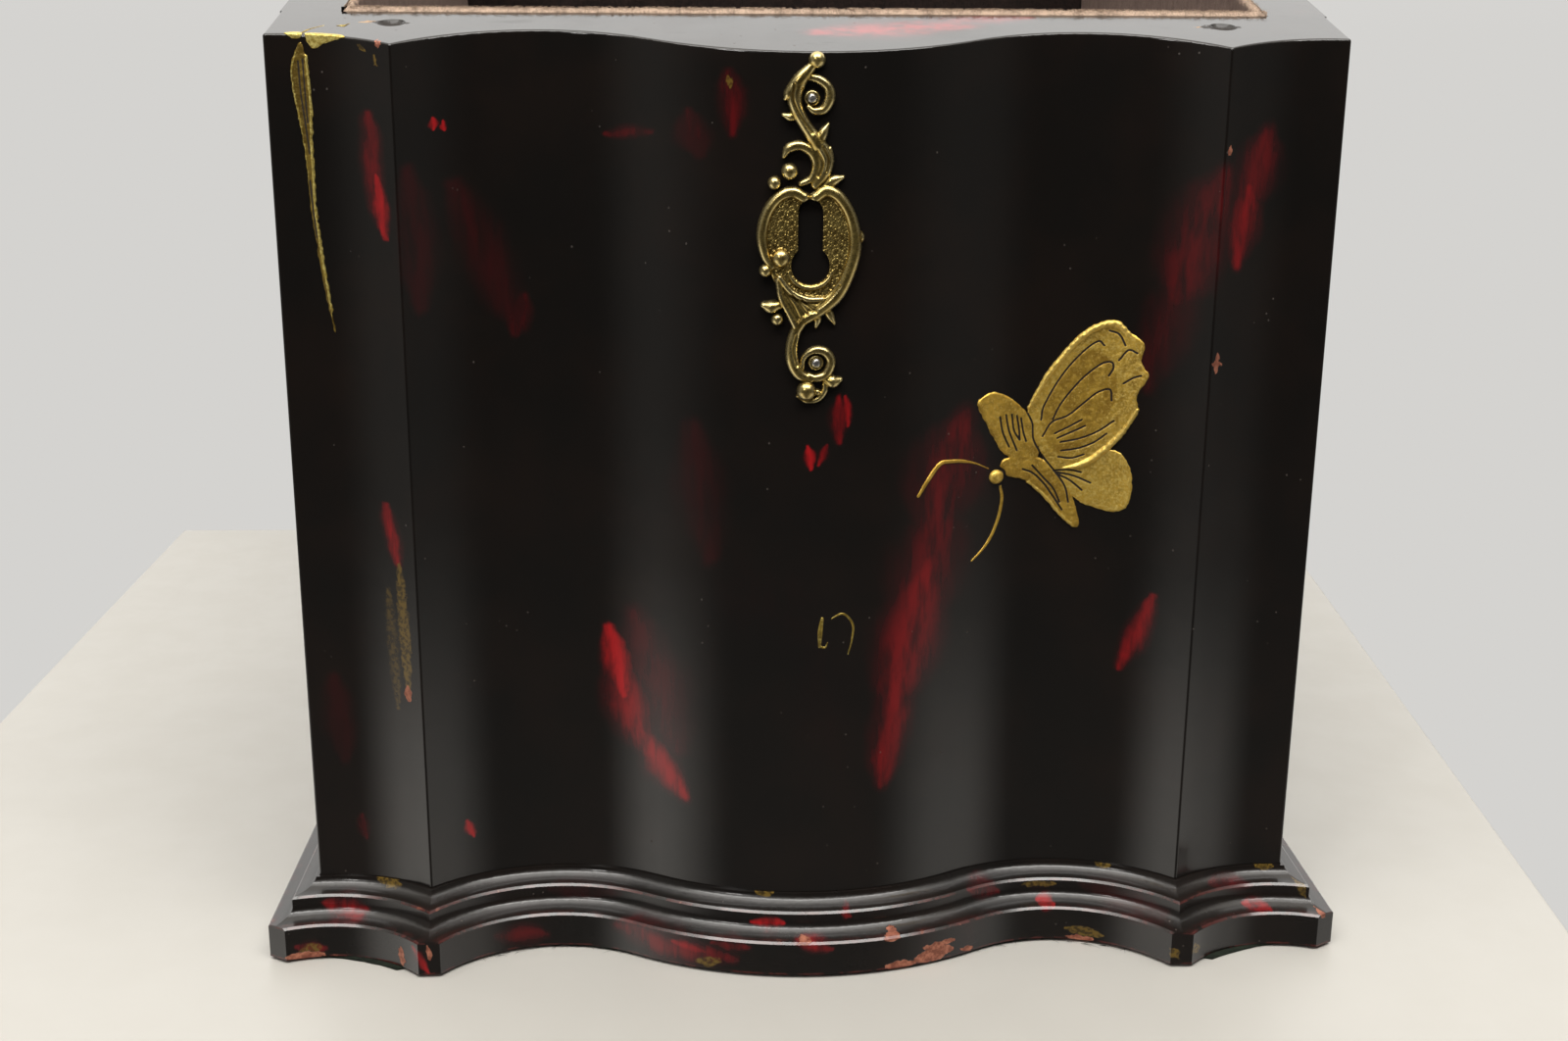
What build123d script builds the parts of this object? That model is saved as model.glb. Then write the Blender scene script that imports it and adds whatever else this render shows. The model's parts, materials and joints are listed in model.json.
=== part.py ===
"""Serpentine-fronted lacquered box with a sloping hinged lid, modelled thrown open.

+Z is up, -Y is the front and +X the right-hand side. The origin is the middle of the
carcass footprint, on the surface that the base felt stands on. Millimetres.
"""
from build123d import *
import os
from math import cos, hypot, radians, sin, sqrt, tan

os.makedirs("parts", exist_ok=True)

# ---------------------------------------------------------------- driving dimensions
body_width = 228.6
body_depth = 254.0        # crown of the bow to the back face
corner_rim_z = 208.0      # height of the rim at the two front corners
rim_slope = 13.0          # degrees the rim climbs towards the back

bow_radius = 68.0         # convex bow in the middle of the front
flank_radius = 44.0       # hollow flank each side of the bow
flank_x = 57.3            # middle of each flank
arris_x = 87.0            # sharp arris between flank and corner cove
cove_radius = 39.0        # hollow cove that cuts off each front corner
cove_x = 110.0

front_depth = 30.0        # crown of the bow to the flat inner face of the front block
wall = 13.0               # side and back panels
base_felt = 0.8
bottom_thickness = 12.0
lining = 1.8
lining_proud = 0.8        # how far the lining stands above the rim

# plinth moulding, as offset out from the carcass and height
plinth_out = 10.3
fascia_z = 8.4
step_out = 5.2
step_low_z = 11.3
step_high_z = 13.4
plinth_lip = 0.6
plinth_top_z = 16.4
plinth_blunt = 4.6        # width of the small flat on each front corner and arris of the plinth

lid_gap = 0.3             # air between rim and lid when closed
lid_rail = 13.0           # height of the lid's frame
lid_board = 8.0           # thickness of the lid's top board
lid_overhang = 5.0
lid_open = 160.0          # the opening at which the overhang lands on the back panel

hinge_length = 38.0
hinge_x = 66.0
knuckle_radius = 2.8
knuckles = 5
knuckle_gap = 0.1
leaf_thickness = 1.4
leaf_width = 11.4
pin_radius = 1.25
running_fit = 0.05
screw_pitch = 13.0
screw_inset = 7.2
screw_head_radius = 2.3
screw_head_depth = 1.1
screw_shank_radius = 1.1
screw_length = 9.0

escutcheon_z = 168.5      # middle of the plate
escutcheon_thickness = 1.6
plate_stand_off = 0.1
keyhole_x = -0.7
keyhole_round_radius = 4.1
keyhole_slot_width = 5.3
tack_radius = 0.6
tack_head_radius = 1.1

pit_x = 89.0              # worn pits in the rim that take the lid's buffer studs
pit_inset = 21.0          # behind the crown of the bow
pit_radius = 3.0
pit_depth = 1.3

edge_round = 0.6

# ---------------------------------------------------------------- derived places
front_y = -body_depth / 2
back_y = body_depth / 2
half_width = body_width / 2
inner_x = half_width - wall
inner_front_y = front_y + front_depth
inner_back_y = back_y - wall

bow_y = front_y + bow_radius
flank_y = bow_y - sqrt((bow_radius + flank_radius) ** 2 - flank_x**2)
arris_y = flank_y + sqrt(flank_radius**2 - (arris_x - flank_x) ** 2)
cove_y = arris_y - sqrt(cove_radius**2 - (arris_x - cove_x) ** 2)
corner_y = cove_y + sqrt(cove_radius**2 - (half_width - cove_x) ** 2)

rim_up = Vector(0, -sin(radians(rim_slope)), cos(radians(rim_slope)))
rim_plane = Plane(origin=(0, corner_y, corner_rim_z), x_dir=(1, 0, 0), z_dir=rim_up)


def rim_z(y):
    """Height of the rim plane at a place along the depth."""
    return corner_rim_z + tan(radians(rim_slope)) * (y - corner_y)


well_floor_z = base_felt + bottom_thickness + lining
tall = 420.0              # longer than anything that the slope planes trim


# ---------------------------------------------------------------- the serpentine plan
def inflection_x(out):
    """Where bow and flank arcs meet, for the plan line offset outwards by out."""
    return flank_x * (bow_radius + out) / (bow_radius + flank_radius)


def offset_arris_x(out):
    """Where the offset flank and cove circles cross."""
    r1, r2 = flank_radius - out, cove_radius - out
    dx, dy = cove_x - flank_x, cove_y - flank_y
    apart = hypot(dx, dy)
    along = (r1**2 - r2**2 + apart**2) / (2 * apart)
    across = sqrt(r1**2 - along**2)
    return flank_x + (along * dx - across * dy) / apart


def plan_y(x, out=0.0):
    """Depth of the serpentine front at x, offset outwards by out."""
    x = abs(x)
    if x <= inflection_x(out):
        return bow_y - sqrt((bow_radius + out) ** 2 - x**2)
    if x <= offset_arris_x(out):
        return flank_y + sqrt((flank_radius - out) ** 2 - (x - flank_x) ** 2)
    return cove_y + sqrt((cove_radius - out) ** 2 - (x - cove_x) ** 2)


def plan_face(out, rear_y, half):
    """The area behind the serpentine front offset outwards by out, back to rear_y."""
    bend, arris = inflection_x(out), offset_arris_x(out)
    stations = [-half, -arris, -bend, bend, arris, half]
    with BuildSketch() as plan:
        with BuildLine():
            for a, b in zip(stations, stations[1:]):
                middle = (a + b) / 2
                ThreePointArc((a, plan_y(a, out)), (middle, plan_y(middle, out)), (b, plan_y(b, out)))
            front_corner = (half, plan_y(half, out))
            Polyline(front_corner, (half, rear_y), (-half, rear_y), (-half, plan_y(half, out)))
        make_face()
    return plan.sketch


def box_between(low, high, mode=Mode.ADD):
    """Inside a BuildPart: a box given by two corners."""
    size = [b - a for a, b in zip(low, high)]
    with Locations(low):
        Box(*size, align=(Align.MIN, Align.MIN, Align.MIN), mode=mode)


def save(name, shape):
    shape.label = name
    export_step(shape, f"parts/{name}.step")


# ---------------------------------------------------------------- hinge geometry
hinge_point = Vector(0, back_y, rim_z(back_y) + lid_gap / 2 / cos(radians(rim_slope)))
hinge_axis = Axis(hinge_point, (1, 0, 0))
body_hinge_plane = Plane(origin=hinge_point, x_dir=(1, 0, 0), z_dir=rim_up)
lid_hinge_plane = Plane(origin=hinge_point, x_dir=(1, 0, 0), z_dir=-rim_up)
hinge_centres = {"left": -hinge_x, "right": hinge_x}
screw_places = [hinge_x * s + i * screw_pitch for s in (-1, 1) for i in (-1, 0, 1)]


def thrown_open(solid):
    """A lid piece drawn closed, swung back to where it rests."""
    return solid.rotate(hinge_axis, -lid_open)


def cut_hinge_seats(plane, inward):
    """Inside a BuildPart: mortises, knuckle grooves and screw pilots for both hinges.

    plane has its z axis out of the wood, and inward is the sign of its y axis that
    points into the box.
    """
    depth = leaf_thickness + lid_gap / 2
    groove = knuckle_radius + 0.3
    for x in hinge_centres.values():
        with Locations(plane.offset(-depth / 2 - 0.01) * Location((x, inward * leaf_width / 2, 0))):
            Box(hinge_length + 0.2, leaf_width + 0.2, depth + 0.02, mode=Mode.SUBTRACT)
        with Locations(plane * Location((x, 0, 0))):
            Cylinder(groove, hinge_length + 0.2, rotation=(0, 90, 0), mode=Mode.SUBTRACT)
    for x in screw_places:
        with Locations(plane.offset(-depth) * Location((x, inward * screw_inset, 0))):
            Cylinder(
                screw_shank_radius + running_fit,
                screw_length,
                align=(Align.CENTER, Align.CENTER, Align.MAX),
                mode=Mode.SUBTRACT,
            )


# ---------------------------------------------------------------- dowels
dowel_radius = 3.0
dowel_x = half_width - wall / 2
dowel_heights = (40.0, 112.0, 184.0)
front_dowel = (inner_front_y - 11.0, inner_front_y + 15.0)
back_dowel = (inner_back_y - 15.0, inner_back_y + 9.0)
lid_dowel_radius = 2.5
lid_dowel_plane = rim_plane.offset(lid_gap + lid_rail / 2)


def carcass_dowel_rods(radius, mode=Mode.ADD):
    """Inside a BuildPart: the twelve dowels that peg the sides to front and back."""
    for x in (-dowel_x, dowel_x):
        for low_y, high_y in (front_dowel, back_dowel):
            for z in dowel_heights:
                with Locations((x, (low_y + high_y) / 2, z)):
                    Cylinder(radius, high_y - low_y, rotation=(90, 0, 0), mode=mode)


def lid_dowel_rods(radius, mode=Mode.ADD):
    """Inside a BuildPart: the four dowels of the lid frame, lying along the slope."""
    for x in (-dowel_x, dowel_x):
        for y in (inner_front_y, inner_back_y):
            along = (y - corner_y) / cos(radians(rim_slope))
            with Locations(lid_dowel_plane * Location((x, along, 0))):
                Cylinder(radius, 18.0, rotation=(90, 0, 0), mode=mode)


# ---------------------------------------------------------------- escutcheon outlines
# Outlines in the plane of the plate: across to the right, and up from its middle.
plate_back_y = front_y - plate_stand_off
escutcheon_plane = Plane(origin=(0, plate_back_y, escutcheon_z), x_dir=(1, 0, 0), z_dir=(0, -1, 0))
cartouche = [
    (-2.0, 9.0), (-6.6, 6.0), (-9.6, 1.0), (-9.9, -4.0), (-8.4, -10.5), (-6.0, -16.0),
    (-1.6, -20.5), (3.6, -20.4), (6.6, -14.5), (8.6, -7.0), (9.4, -0.5), (7.2, 6.5), (2.6, 9.6),
]
upper_scroll = [
    (-2.0, 8.4), (-3.0, 11.0), (0.6, 12.4), (1.5, 16.0), (-3.6, 19.2), (-4.6, 22.6), (-6.0, 25.6),
    (-4.4, 29.4), (-1.4, 32.6), (-0.6, 36.2), (2.2, 35.6), (2.6, 32.0), (4.2, 28.4), (2.4, 24.6),
    (1.4, 21.6), (4.4, 19.0), (4.6, 14.0), (3.4, 11.0), (2.8, 9.4),
]
lower_scroll = [
    (-1.8, -20.0), (-3.4, -23.0), (-2.4, -26.4), (-2.6, -29.6), (-1.4, -32.4), (-2.6, -34.4),
    (-1.4, -36.2), (1.6, -34.6), (3.6, -35.2), (5.0, -33.0), (4.2, -30.4), (4.2, -27.0),
    (1.8, -24.6), (1.2, -23.0), (2.8, -20.4),
]
escutcheon_pin_places = [(-0.7, 27.6), (0.7, -27.5)]

# ---------------------------------------------------------------- carcass
def ahead_of_rebate(edge):
    """Whether an edge lies in front of the flat inner face of the front block."""
    return edge.center().Y < inner_front_y - 1


def arris_edges(block):
    """The four upright edges of a serpentine block that aren't tangent joins."""
    upright = block.edges().filter_by(Axis.Z).filter_by(ahead_of_rebate)
    return upright.filter_by(lambda edge: abs(edge.center().X) > offset_arris_x(0) - 1)


with BuildPart() as front_panel:
    with BuildSketch(Plane.XY.offset(base_felt)):
        add(plan_face(0, inner_front_y, half_width))
    extrude(amount=tall)
    split(bisect_by=rim_plane, keep=Keep.BOTTOM)
    rim_edges = front_panel.faces().sort_by(Axis.Z)[-1].edges().filter_by(ahead_of_rebate)
    fillet(arris_edges(front_panel) + rim_edges, radius=edge_round)
    carcass_dowel_rods(dowel_radius + running_fit, mode=Mode.SUBTRACT)
    dish = (pit_radius**2 + pit_depth**2) / (2 * pit_depth)
    pit_y = front_y + pit_inset
    for x in (-pit_x, pit_x):
        pit_centre = Vector(x, pit_y, rim_z(pit_y)) + rim_up * (dish - pit_depth)
        with Locations(pit_centre):
            Sphere(dish, mode=Mode.SUBTRACT)
    for x, z in escutcheon_pin_places:
        with Locations(escutcheon_plane * Location((x, z, 0))):
            Cylinder(
                tack_radius + running_fit,
                9.0,
                align=(Align.CENTER, Align.CENTER, Align.MAX),
                mode=Mode.SUBTRACT,
            )
save("front_panel", front_panel.part)

for side, sign in (("left", -1), ("right", 1)):
    x_low, x_high = sorted((sign * inner_x, sign * half_width))
    with BuildPart() as side_panel:
        box_between((x_low, inner_front_y, base_felt), (x_high, inner_back_y, tall))
        split(bisect_by=rim_plane, keep=Keep.BOTTOM)
        carcass_dowel_rods(dowel_radius + running_fit, mode=Mode.SUBTRACT)
    save(f"{side}_side_panel", side_panel.part)

with BuildPart() as back_panel:
    box_between((-half_width, inner_back_y, base_felt), (half_width, back_y, tall))
    split(bisect_by=rim_plane, keep=Keep.BOTTOM)
    corners = back_panel.edges().filter_by(Axis.Z).group_by(Axis.Y)[-1]
    fillet(corners, radius=edge_round)
    carcass_dowel_rods(dowel_radius + running_fit, mode=Mode.SUBTRACT)
    cut_hinge_seats(body_hinge_plane, inward=-1)
save("back_panel", back_panel.part)

with BuildPart() as bottom_board:
    box_between(
        (-inner_x, inner_front_y, base_felt), (inner_x, inner_back_y, base_felt + bottom_thickness)
    )
save("bottom_board", bottom_board.part)

with BuildPart() as carcass_dowels:
    carcass_dowel_rods(dowel_radius)
save("carcass_dowels", carcass_dowels.part)

# ---------------------------------------------------------------- plinth
def hollow_tread(out, z, out_top, z_top, steps=6):
    """Courses of a quarter-hollow that runs in from out and then up to z_top."""
    turns = [radians(90 * i / steps) for i in range(steps + 1)]
    return [(out + (out_top - out) * sin(t), z + (z_top - z) * (1 - cos(t))) for t in turns]


# The moulding from the floor up, each run ending where the next one starts.
chamfered_edge = 0.5
fascia = [(plinth_out, base_felt), (plinth_out, fascia_z)]
fascia_edge = [fascia[-1], (plinth_out - chamfered_edge, fascia_z + chamfered_edge)]
low_tread = hollow_tread(*fascia_edge[-1], step_out, step_low_z)
riser = [low_tread[-1], (step_out, step_high_z)]
riser_edge = [riser[-1], (step_out - chamfered_edge, step_high_z + chamfered_edge)]
high_tread = hollow_tread(*riser_edge[-1], plinth_lip, plinth_top_z)

with BuildPart() as plinth_ring:
    for courses in (fascia, fascia_edge, low_tread, riser, riser_edge, high_tread):
        for out, z in courses:
            with BuildSketch(Plane.XY.offset(z)):
                add(plan_face(out, back_y + out, half_width + out))
        loft(ruled=len(courses) == 2)
    with BuildSketch(Plane.XY.offset(base_felt)):
        add(plan_face(0, back_y, half_width))
    extrude(amount=plinth_top_z, mode=Mode.SUBTRACT)

plinth_half_width = half_width + plinth_out
plinth_corner_y = plan_y(plinth_half_width, plinth_out)


def blunt_tip(x):
    """Inside a BuildPart: take the moulding's sharp tip at x back to a narrow upright flat."""
    y = plan_y(x, plinth_out)
    step = 1.0 if x > 0 else -1.0
    inner = Vector(-step, plan_y(x - step, plinth_out) - y).normalized()
    if abs(x) < plinth_half_width:
        outer = Vector(step, plan_y(x + step, plinth_out) - y).normalized()
    else:
        outer = Vector(0, 1)
    inward = (inner + outer).normalized()
    depth = plinth_blunt / 2 / tan(radians(inner.get_angle(outer) / 2))
    flat_middle = Vector(x, y) + inward * depth
    tip = Plane(flat_middle, x_dir=Vector(0, 0, 1), z_dir=-inward)
    with Locations(tip):
        Box(3 * plinth_top_z, 12, 8, align=(Align.CENTER, Align.CENTER, Align.MIN), mode=Mode.SUBTRACT)


with plinth_ring:
    for tip_x in (plinth_half_width, offset_arris_x(plinth_out)):
        blunt_tip(tip_x)
        blunt_tip(-tip_x)

front_left = (-half_width, corner_y)
front_right = (half_width, corner_y)
front_middle = (0, inner_front_y)
back_left = (-half_width, back_y)
back_right = (half_width, back_y)


def past(corner, outer_corner):
    """A place on the mitre line from corner through outer_corner, well clear of the moulding."""
    return tuple(a + 3 * (b - a) for a, b in zip(corner, outer_corner))


far_front_left = past(front_left, (-plinth_half_width, plinth_corner_y))
far_front_right = past(front_right, (plinth_half_width, plinth_corner_y))
far_back_left = past(back_left, (-plinth_half_width, back_y + plinth_out))
far_back_right = past(back_right, (plinth_half_width, back_y + plinth_out))
mitred_lengths = {
    "plinth_left": (front_left, far_front_left, far_back_left, back_left),
    "plinth_right": (front_right, back_right, far_back_right, far_front_right),
    "plinth_back": (back_left, far_back_left, far_back_right, back_right),
    "plinth_front": (front_left, front_middle, front_right, far_front_right, far_front_left),
}
for name, corners in mitred_lengths.items():
    with BuildPart() as length:
        add(plinth_ring.part)
        with BuildSketch():
            Polygon(*corners, align=None)
        extrude(amount=2 * plinth_top_z, mode=Mode.INTERSECT)
    save(name, length.part)

with BuildPart() as base_felt_pad:
    with BuildSketch():
        add(plan_face(plinth_out - 1.5, back_y + plinth_out - 1.5, half_width + plinth_out - 1.5))
    extrude(amount=base_felt)
save("base_felt", base_felt_pad.part)

# ---------------------------------------------------------------- escutcheon
with BuildPart() as escutcheon:
    with BuildSketch(escutcheon_plane):
        for outline in (cartouche, upper_scroll, lower_scroll):
            with BuildLine():
                Spline(*outline, periodic=True)
            make_face()
        with Locations((keyhole_x, -6.8)):
            Circle(keyhole_round_radius, mode=Mode.SUBTRACT)
        with Locations((keyhole_x, 0.6)):
            SlotCenterToCenter(11.0, keyhole_slot_width, rotation=90, mode=Mode.SUBTRACT)
    extrude(amount=escutcheon_thickness)
    with Locations(*[escutcheon_plane * Location((x, z, 0)) for x, z in escutcheon_pin_places]):
        Cylinder(
            tack_radius + running_fit,
            escutcheon_thickness,
            align=(Align.CENTER, Align.CENTER, Align.MIN),
            mode=Mode.SUBTRACT,
        )
save("escutcheon", escutcheon.part)

with BuildPart() as escutcheon_pins:
    head_plane = escutcheon_plane.offset(escutcheon_thickness)
    for x, z in escutcheon_pin_places:
        with Locations(head_plane * Location((x, z, 0))):
            Cylinder(tack_radius, 9.0, align=(Align.CENTER, Align.CENTER, Align.MAX))
            Cylinder(tack_head_radius, 0.5, align=(Align.CENTER, Align.CENTER, Align.MIN))
    domes = escutcheon_pins.edges().filter_by(GeomType.CIRCLE).group_by(Axis.Y)[0]
    fillet(domes, radius=0.4)
save("escutcheon_pins", escutcheon_pins.part)

# ---------------------------------------------------------------- lining of the well
lining_top = rim_plane.offset(lining_proud)
lining_low_z = base_felt + bottom_thickness
lining_boxes = {
    "lining_front": ((-inner_x, inner_front_y), (inner_x, inner_front_y + lining)),
    "lining_back": ((-inner_x, inner_back_y - lining), (inner_x, inner_back_y)),
    "lining_left": ((-inner_x, inner_front_y + lining), (-inner_x + lining, inner_back_y - lining)),
    "lining_right": ((inner_x - lining, inner_front_y + lining), (inner_x, inner_back_y - lining)),
}
for name, (low, high) in lining_boxes.items():
    with BuildPart() as lining_panel:
        box_between((*low, lining_low_z), (*high, tall))
        split(bisect_by=lining_top, keep=Keep.BOTTOM)
    save(name, lining_panel.part)

with BuildPart() as lining_floor:
    box_between(
        (-inner_x + lining, inner_front_y + lining, lining_low_z),
        (inner_x - lining, inner_back_y - lining, well_floor_z),
    )
save("lining_floor", lining_floor.part)

# ---------------------------------------------------------------- lid, drawn closed
lid_under = rim_plane.offset(lid_gap)
lid_rail_top = rim_plane.offset(lid_gap + lid_rail)
lid_top = rim_plane.offset(lid_gap + lid_rail + lid_board)
stud_head_radius = 2.6
stud_head_height = 1.0


def trim_to_rail():
    """Inside a BuildPart: keep only the height of the lid's frame."""
    split(bisect_by=lid_under, keep=Keep.TOP)
    split(bisect_by=lid_rail_top, keep=Keep.BOTTOM)


stud_along = (pit_y - corner_y) / cos(radians(rim_slope))

with BuildPart() as lid_front_rail:
    with BuildSketch():
        add(plan_face(0, inner_front_y, half_width))
    extrude(amount=tall)
    trim_to_rail()
    fillet(arris_edges(lid_front_rail), radius=edge_round)
    lid_dowel_rods(lid_dowel_radius + running_fit, mode=Mode.SUBTRACT)
    for x in (-pit_x, pit_x):
        with Locations(lid_under * Location((x, stud_along, 0))):
            Cylinder(
                0.9 + running_fit,
                8.0,
                align=(Align.CENTER, Align.CENTER, Align.MIN),
                mode=Mode.SUBTRACT,
            )
save("lid_front_rail", thrown_open(lid_front_rail.part))

for side, sign in (("left", -1), ("right", 1)):
    x_low, x_high = sorted((sign * inner_x, sign * half_width))
    with BuildPart() as lid_side_rail:
        box_between((x_low, inner_front_y, 0), (x_high, inner_back_y, tall))
        trim_to_rail()
        lid_dowel_rods(lid_dowel_radius + running_fit, mode=Mode.SUBTRACT)
    save(f"lid_{side}_rail", thrown_open(lid_side_rail.part))

with BuildPart() as lid_back_rail:
    box_between((-half_width, inner_back_y, 0), (half_width, back_y, tall))
    trim_to_rail()
    lid_dowel_rods(lid_dowel_radius + running_fit, mode=Mode.SUBTRACT)
    cut_hinge_seats(lid_hinge_plane, inward=1)
save("lid_back_rail", thrown_open(lid_back_rail.part))

with BuildPart() as lid_top_board:
    with BuildSketch():
        add(plan_face(lid_overhang, back_y + lid_overhang, half_width + lid_overhang))
    extrude(amount=tall)
    split(bisect_by=lid_rail_top, keep=Keep.TOP)
    split(bisect_by=lid_top, keep=Keep.BOTTOM)
    outer_face = lid_top_board.faces().sort_by(Axis.Z)[-1]
    fillet(outer_face.edges(), radius=3.5)
save("lid_top_board", thrown_open(lid_top_board.part))

with BuildPart() as lid_dowels:
    lid_dowel_rods(lid_dowel_radius)
save("lid_dowels", thrown_open(lid_dowels.part))

with BuildPart() as lid_buffer_studs:
    for x in (-pit_x, pit_x):
        with Locations(lid_under * Location((x, stud_along, 0))):
            Cylinder(0.9, 7.8, align=(Align.CENTER, Align.CENTER, Align.MIN))
            Cylinder(
                stud_head_radius,
                stud_head_height,
                align=(Align.CENTER, Align.CENTER, Align.MAX),
            )
    crowns = lid_buffer_studs.edges().filter_by(GeomType.CIRCLE).group_by(SortBy.RADIUS)[-1]
    low_crowns = crowns.filter_by(
        lambda e: (e.center() - hinge_point).dot(rim_up) < lid_gap / 2 - stud_head_height / 2
    )
    fillet(low_crowns, radius=0.8)
save("lid_buffer_studs", thrown_open(lid_buffer_studs.part))

# lining of the lid, a panel under the board and a strip inside each rail
strip_low = rim_plane.offset(lid_gap + 1.2)
lid_lining_low = rim_plane.offset(lid_gap + lid_rail - lining)
lid_linings = {
    "lid_lining_front": ((-inner_x, inner_front_y), (inner_x, inner_front_y + lining)),
    "lid_lining_back": ((-inner_x, inner_back_y - lining), (inner_x, inner_back_y)),
    "lid_lining_left": ((-inner_x, inner_front_y + lining), (-inner_x + lining, inner_back_y - lining)),
    "lid_lining_right": ((inner_x - lining, inner_front_y + lining), (inner_x, inner_back_y - lining)),
}
for name, (low, high) in lid_linings.items():
    with BuildPart() as lid_strip:
        box_between((*low, 0), (*high, tall))
        split(bisect_by=strip_low, keep=Keep.TOP)
        split(bisect_by=lid_rail_top, keep=Keep.BOTTOM)
    save(name, thrown_open(lid_strip.part))

with BuildPart() as lid_lining_panel:
    box_between(
        (-inner_x + lining, inner_front_y + lining, 0), (inner_x - lining, inner_back_y - lining, tall)
    )
    split(bisect_by=lid_lining_low, keep=Keep.TOP)
    split(bisect_by=lid_rail_top, keep=Keep.BOTTOM)
save("lid_lining_panel", thrown_open(lid_lining_panel.part))

# ---------------------------------------------------------------- hinges
knuckle_length = hinge_length / knuckles


def hinge_leaf(plane, inward, x_centre, own_knuckles):
    """Inside a BuildPart: one leaf with its knuckles, pin hole and countersunk holes."""
    clear_of_pin = knuckle_radius + 0.3
    plate = plane.offset(-lid_gap / 2 - leaf_thickness / 2)
    with Locations(plate * Location((x_centre, inward * (leaf_width + clear_of_pin) / 2, 0))):
        Box(hinge_length, leaf_width - clear_of_pin, leaf_thickness)
    for k in own_knuckles:
        x = x_centre + (k + 0.5) * knuckle_length - hinge_length / 2
        with Locations(plate * Location((x, inward * clear_of_pin / 2, 0))):
            Box(knuckle_length - knuckle_gap, clear_of_pin + 0.02, leaf_thickness)
        with Locations(plane * Location((x, 0, 0))):
            Cylinder(knuckle_radius, knuckle_length - knuckle_gap, rotation=(0, 90, 0))
    with Locations(plane * Location((x_centre, 0, 0))):
        Cylinder(pin_radius + running_fit, hinge_length, rotation=(0, 90, 0), mode=Mode.SUBTRACT)
    face = plane.offset(-lid_gap / 2)
    for i in (-1, 0, 1):
        with Locations(face * Location((x_centre + i * screw_pitch, inward * screw_inset, 0))):
            CounterSinkHole(
                radius=screw_shank_radius + running_fit,
                counter_sink_radius=screw_head_radius + running_fit,
                depth=leaf_thickness * 2,
                counter_sink_angle=90,
            )


def hinge_screws(plane, inward):
    """Inside a BuildPart: six slotted countersunk screws, heads flush with the leaves."""
    face = plane.offset(-lid_gap / 2)
    for x in screw_places:
        with Locations(face * Location((x, inward * screw_inset, 0))):
            Cone(
                screw_shank_radius,
                screw_head_radius,
                screw_head_radius - screw_shank_radius,
                align=(Align.CENTER, Align.CENTER, Align.MAX),
            )
            Cylinder(
                screw_shank_radius, screw_length, align=(Align.CENTER, Align.CENTER, Align.MAX)
            )
            Box(
                2 * screw_head_radius,
                0.6,
                0.5,
                align=(Align.CENTER, Align.CENTER, Align.MAX),
                mode=Mode.SUBTRACT,
            )


for side, x_centre in hinge_centres.items():
    with BuildPart() as body_leaf:
        hinge_leaf(body_hinge_plane, -1, x_centre, (0, 2, 4))
    save(f"hinge_{side}_body_leaf", body_leaf.part)
    with BuildPart() as lid_leaf:
        hinge_leaf(lid_hinge_plane, 1, x_centre, (1, 3))
    save(f"hinge_{side}_lid_leaf", thrown_open(lid_leaf.part))
    with BuildPart() as hinge_pin:
        with Locations(body_hinge_plane * Location((x_centre, 0, 0))):
            Cylinder(pin_radius, hinge_length, rotation=(0, 90, 0))
        chamfer(hinge_pin.edges().filter_by(GeomType.CIRCLE), length=0.3)
    save(f"hinge_{side}_pin", hinge_pin.part)

with BuildPart() as body_hinge_screws:
    hinge_screws(body_hinge_plane, -1)
save("hinge_screws_body", body_hinge_screws.part)

with BuildPart() as lid_hinge_screws:
    hinge_screws(lid_hinge_plane, 1)
save("hinge_screws_lid", thrown_open(lid_hinge_screws.part))
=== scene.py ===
"""Looks of a black-lacquered serpentine casket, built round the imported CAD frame. Metres."""
import json
import math

import bpy
import numpy as np
from mathutils import Matrix, Vector, noise


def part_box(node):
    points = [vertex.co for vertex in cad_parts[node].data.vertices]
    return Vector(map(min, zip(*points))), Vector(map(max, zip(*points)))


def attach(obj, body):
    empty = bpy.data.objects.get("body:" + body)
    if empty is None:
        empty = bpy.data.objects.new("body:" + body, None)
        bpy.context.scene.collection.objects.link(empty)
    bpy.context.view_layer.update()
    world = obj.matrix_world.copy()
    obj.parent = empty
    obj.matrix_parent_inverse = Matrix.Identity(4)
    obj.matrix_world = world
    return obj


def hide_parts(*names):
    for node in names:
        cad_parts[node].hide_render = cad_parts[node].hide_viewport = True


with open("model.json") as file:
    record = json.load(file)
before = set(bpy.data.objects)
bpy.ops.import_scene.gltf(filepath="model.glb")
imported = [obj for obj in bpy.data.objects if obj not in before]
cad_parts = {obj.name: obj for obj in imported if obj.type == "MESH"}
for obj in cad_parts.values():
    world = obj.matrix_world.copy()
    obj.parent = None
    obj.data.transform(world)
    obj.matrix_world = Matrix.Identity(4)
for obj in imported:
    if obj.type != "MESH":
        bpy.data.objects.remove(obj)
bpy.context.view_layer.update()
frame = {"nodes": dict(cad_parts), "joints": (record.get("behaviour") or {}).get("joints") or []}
mm = 0.001

# ---------------------------------------------------------------- places taken from the frame
front_low, front_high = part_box("front_panel")
floor_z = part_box("base_felt")[0].z
crown_y = front_low.y
half_width = front_high.x
inner_front_y = front_high.y
well_low, well_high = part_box("bottom_board")
plate_front_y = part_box("escutcheon")[1].y
hinge = frame["joints"][0]
hinge_point = Vector(hinge["pos_m"])
lid_turn = math.radians(hinge["range_deg"][1])

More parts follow.
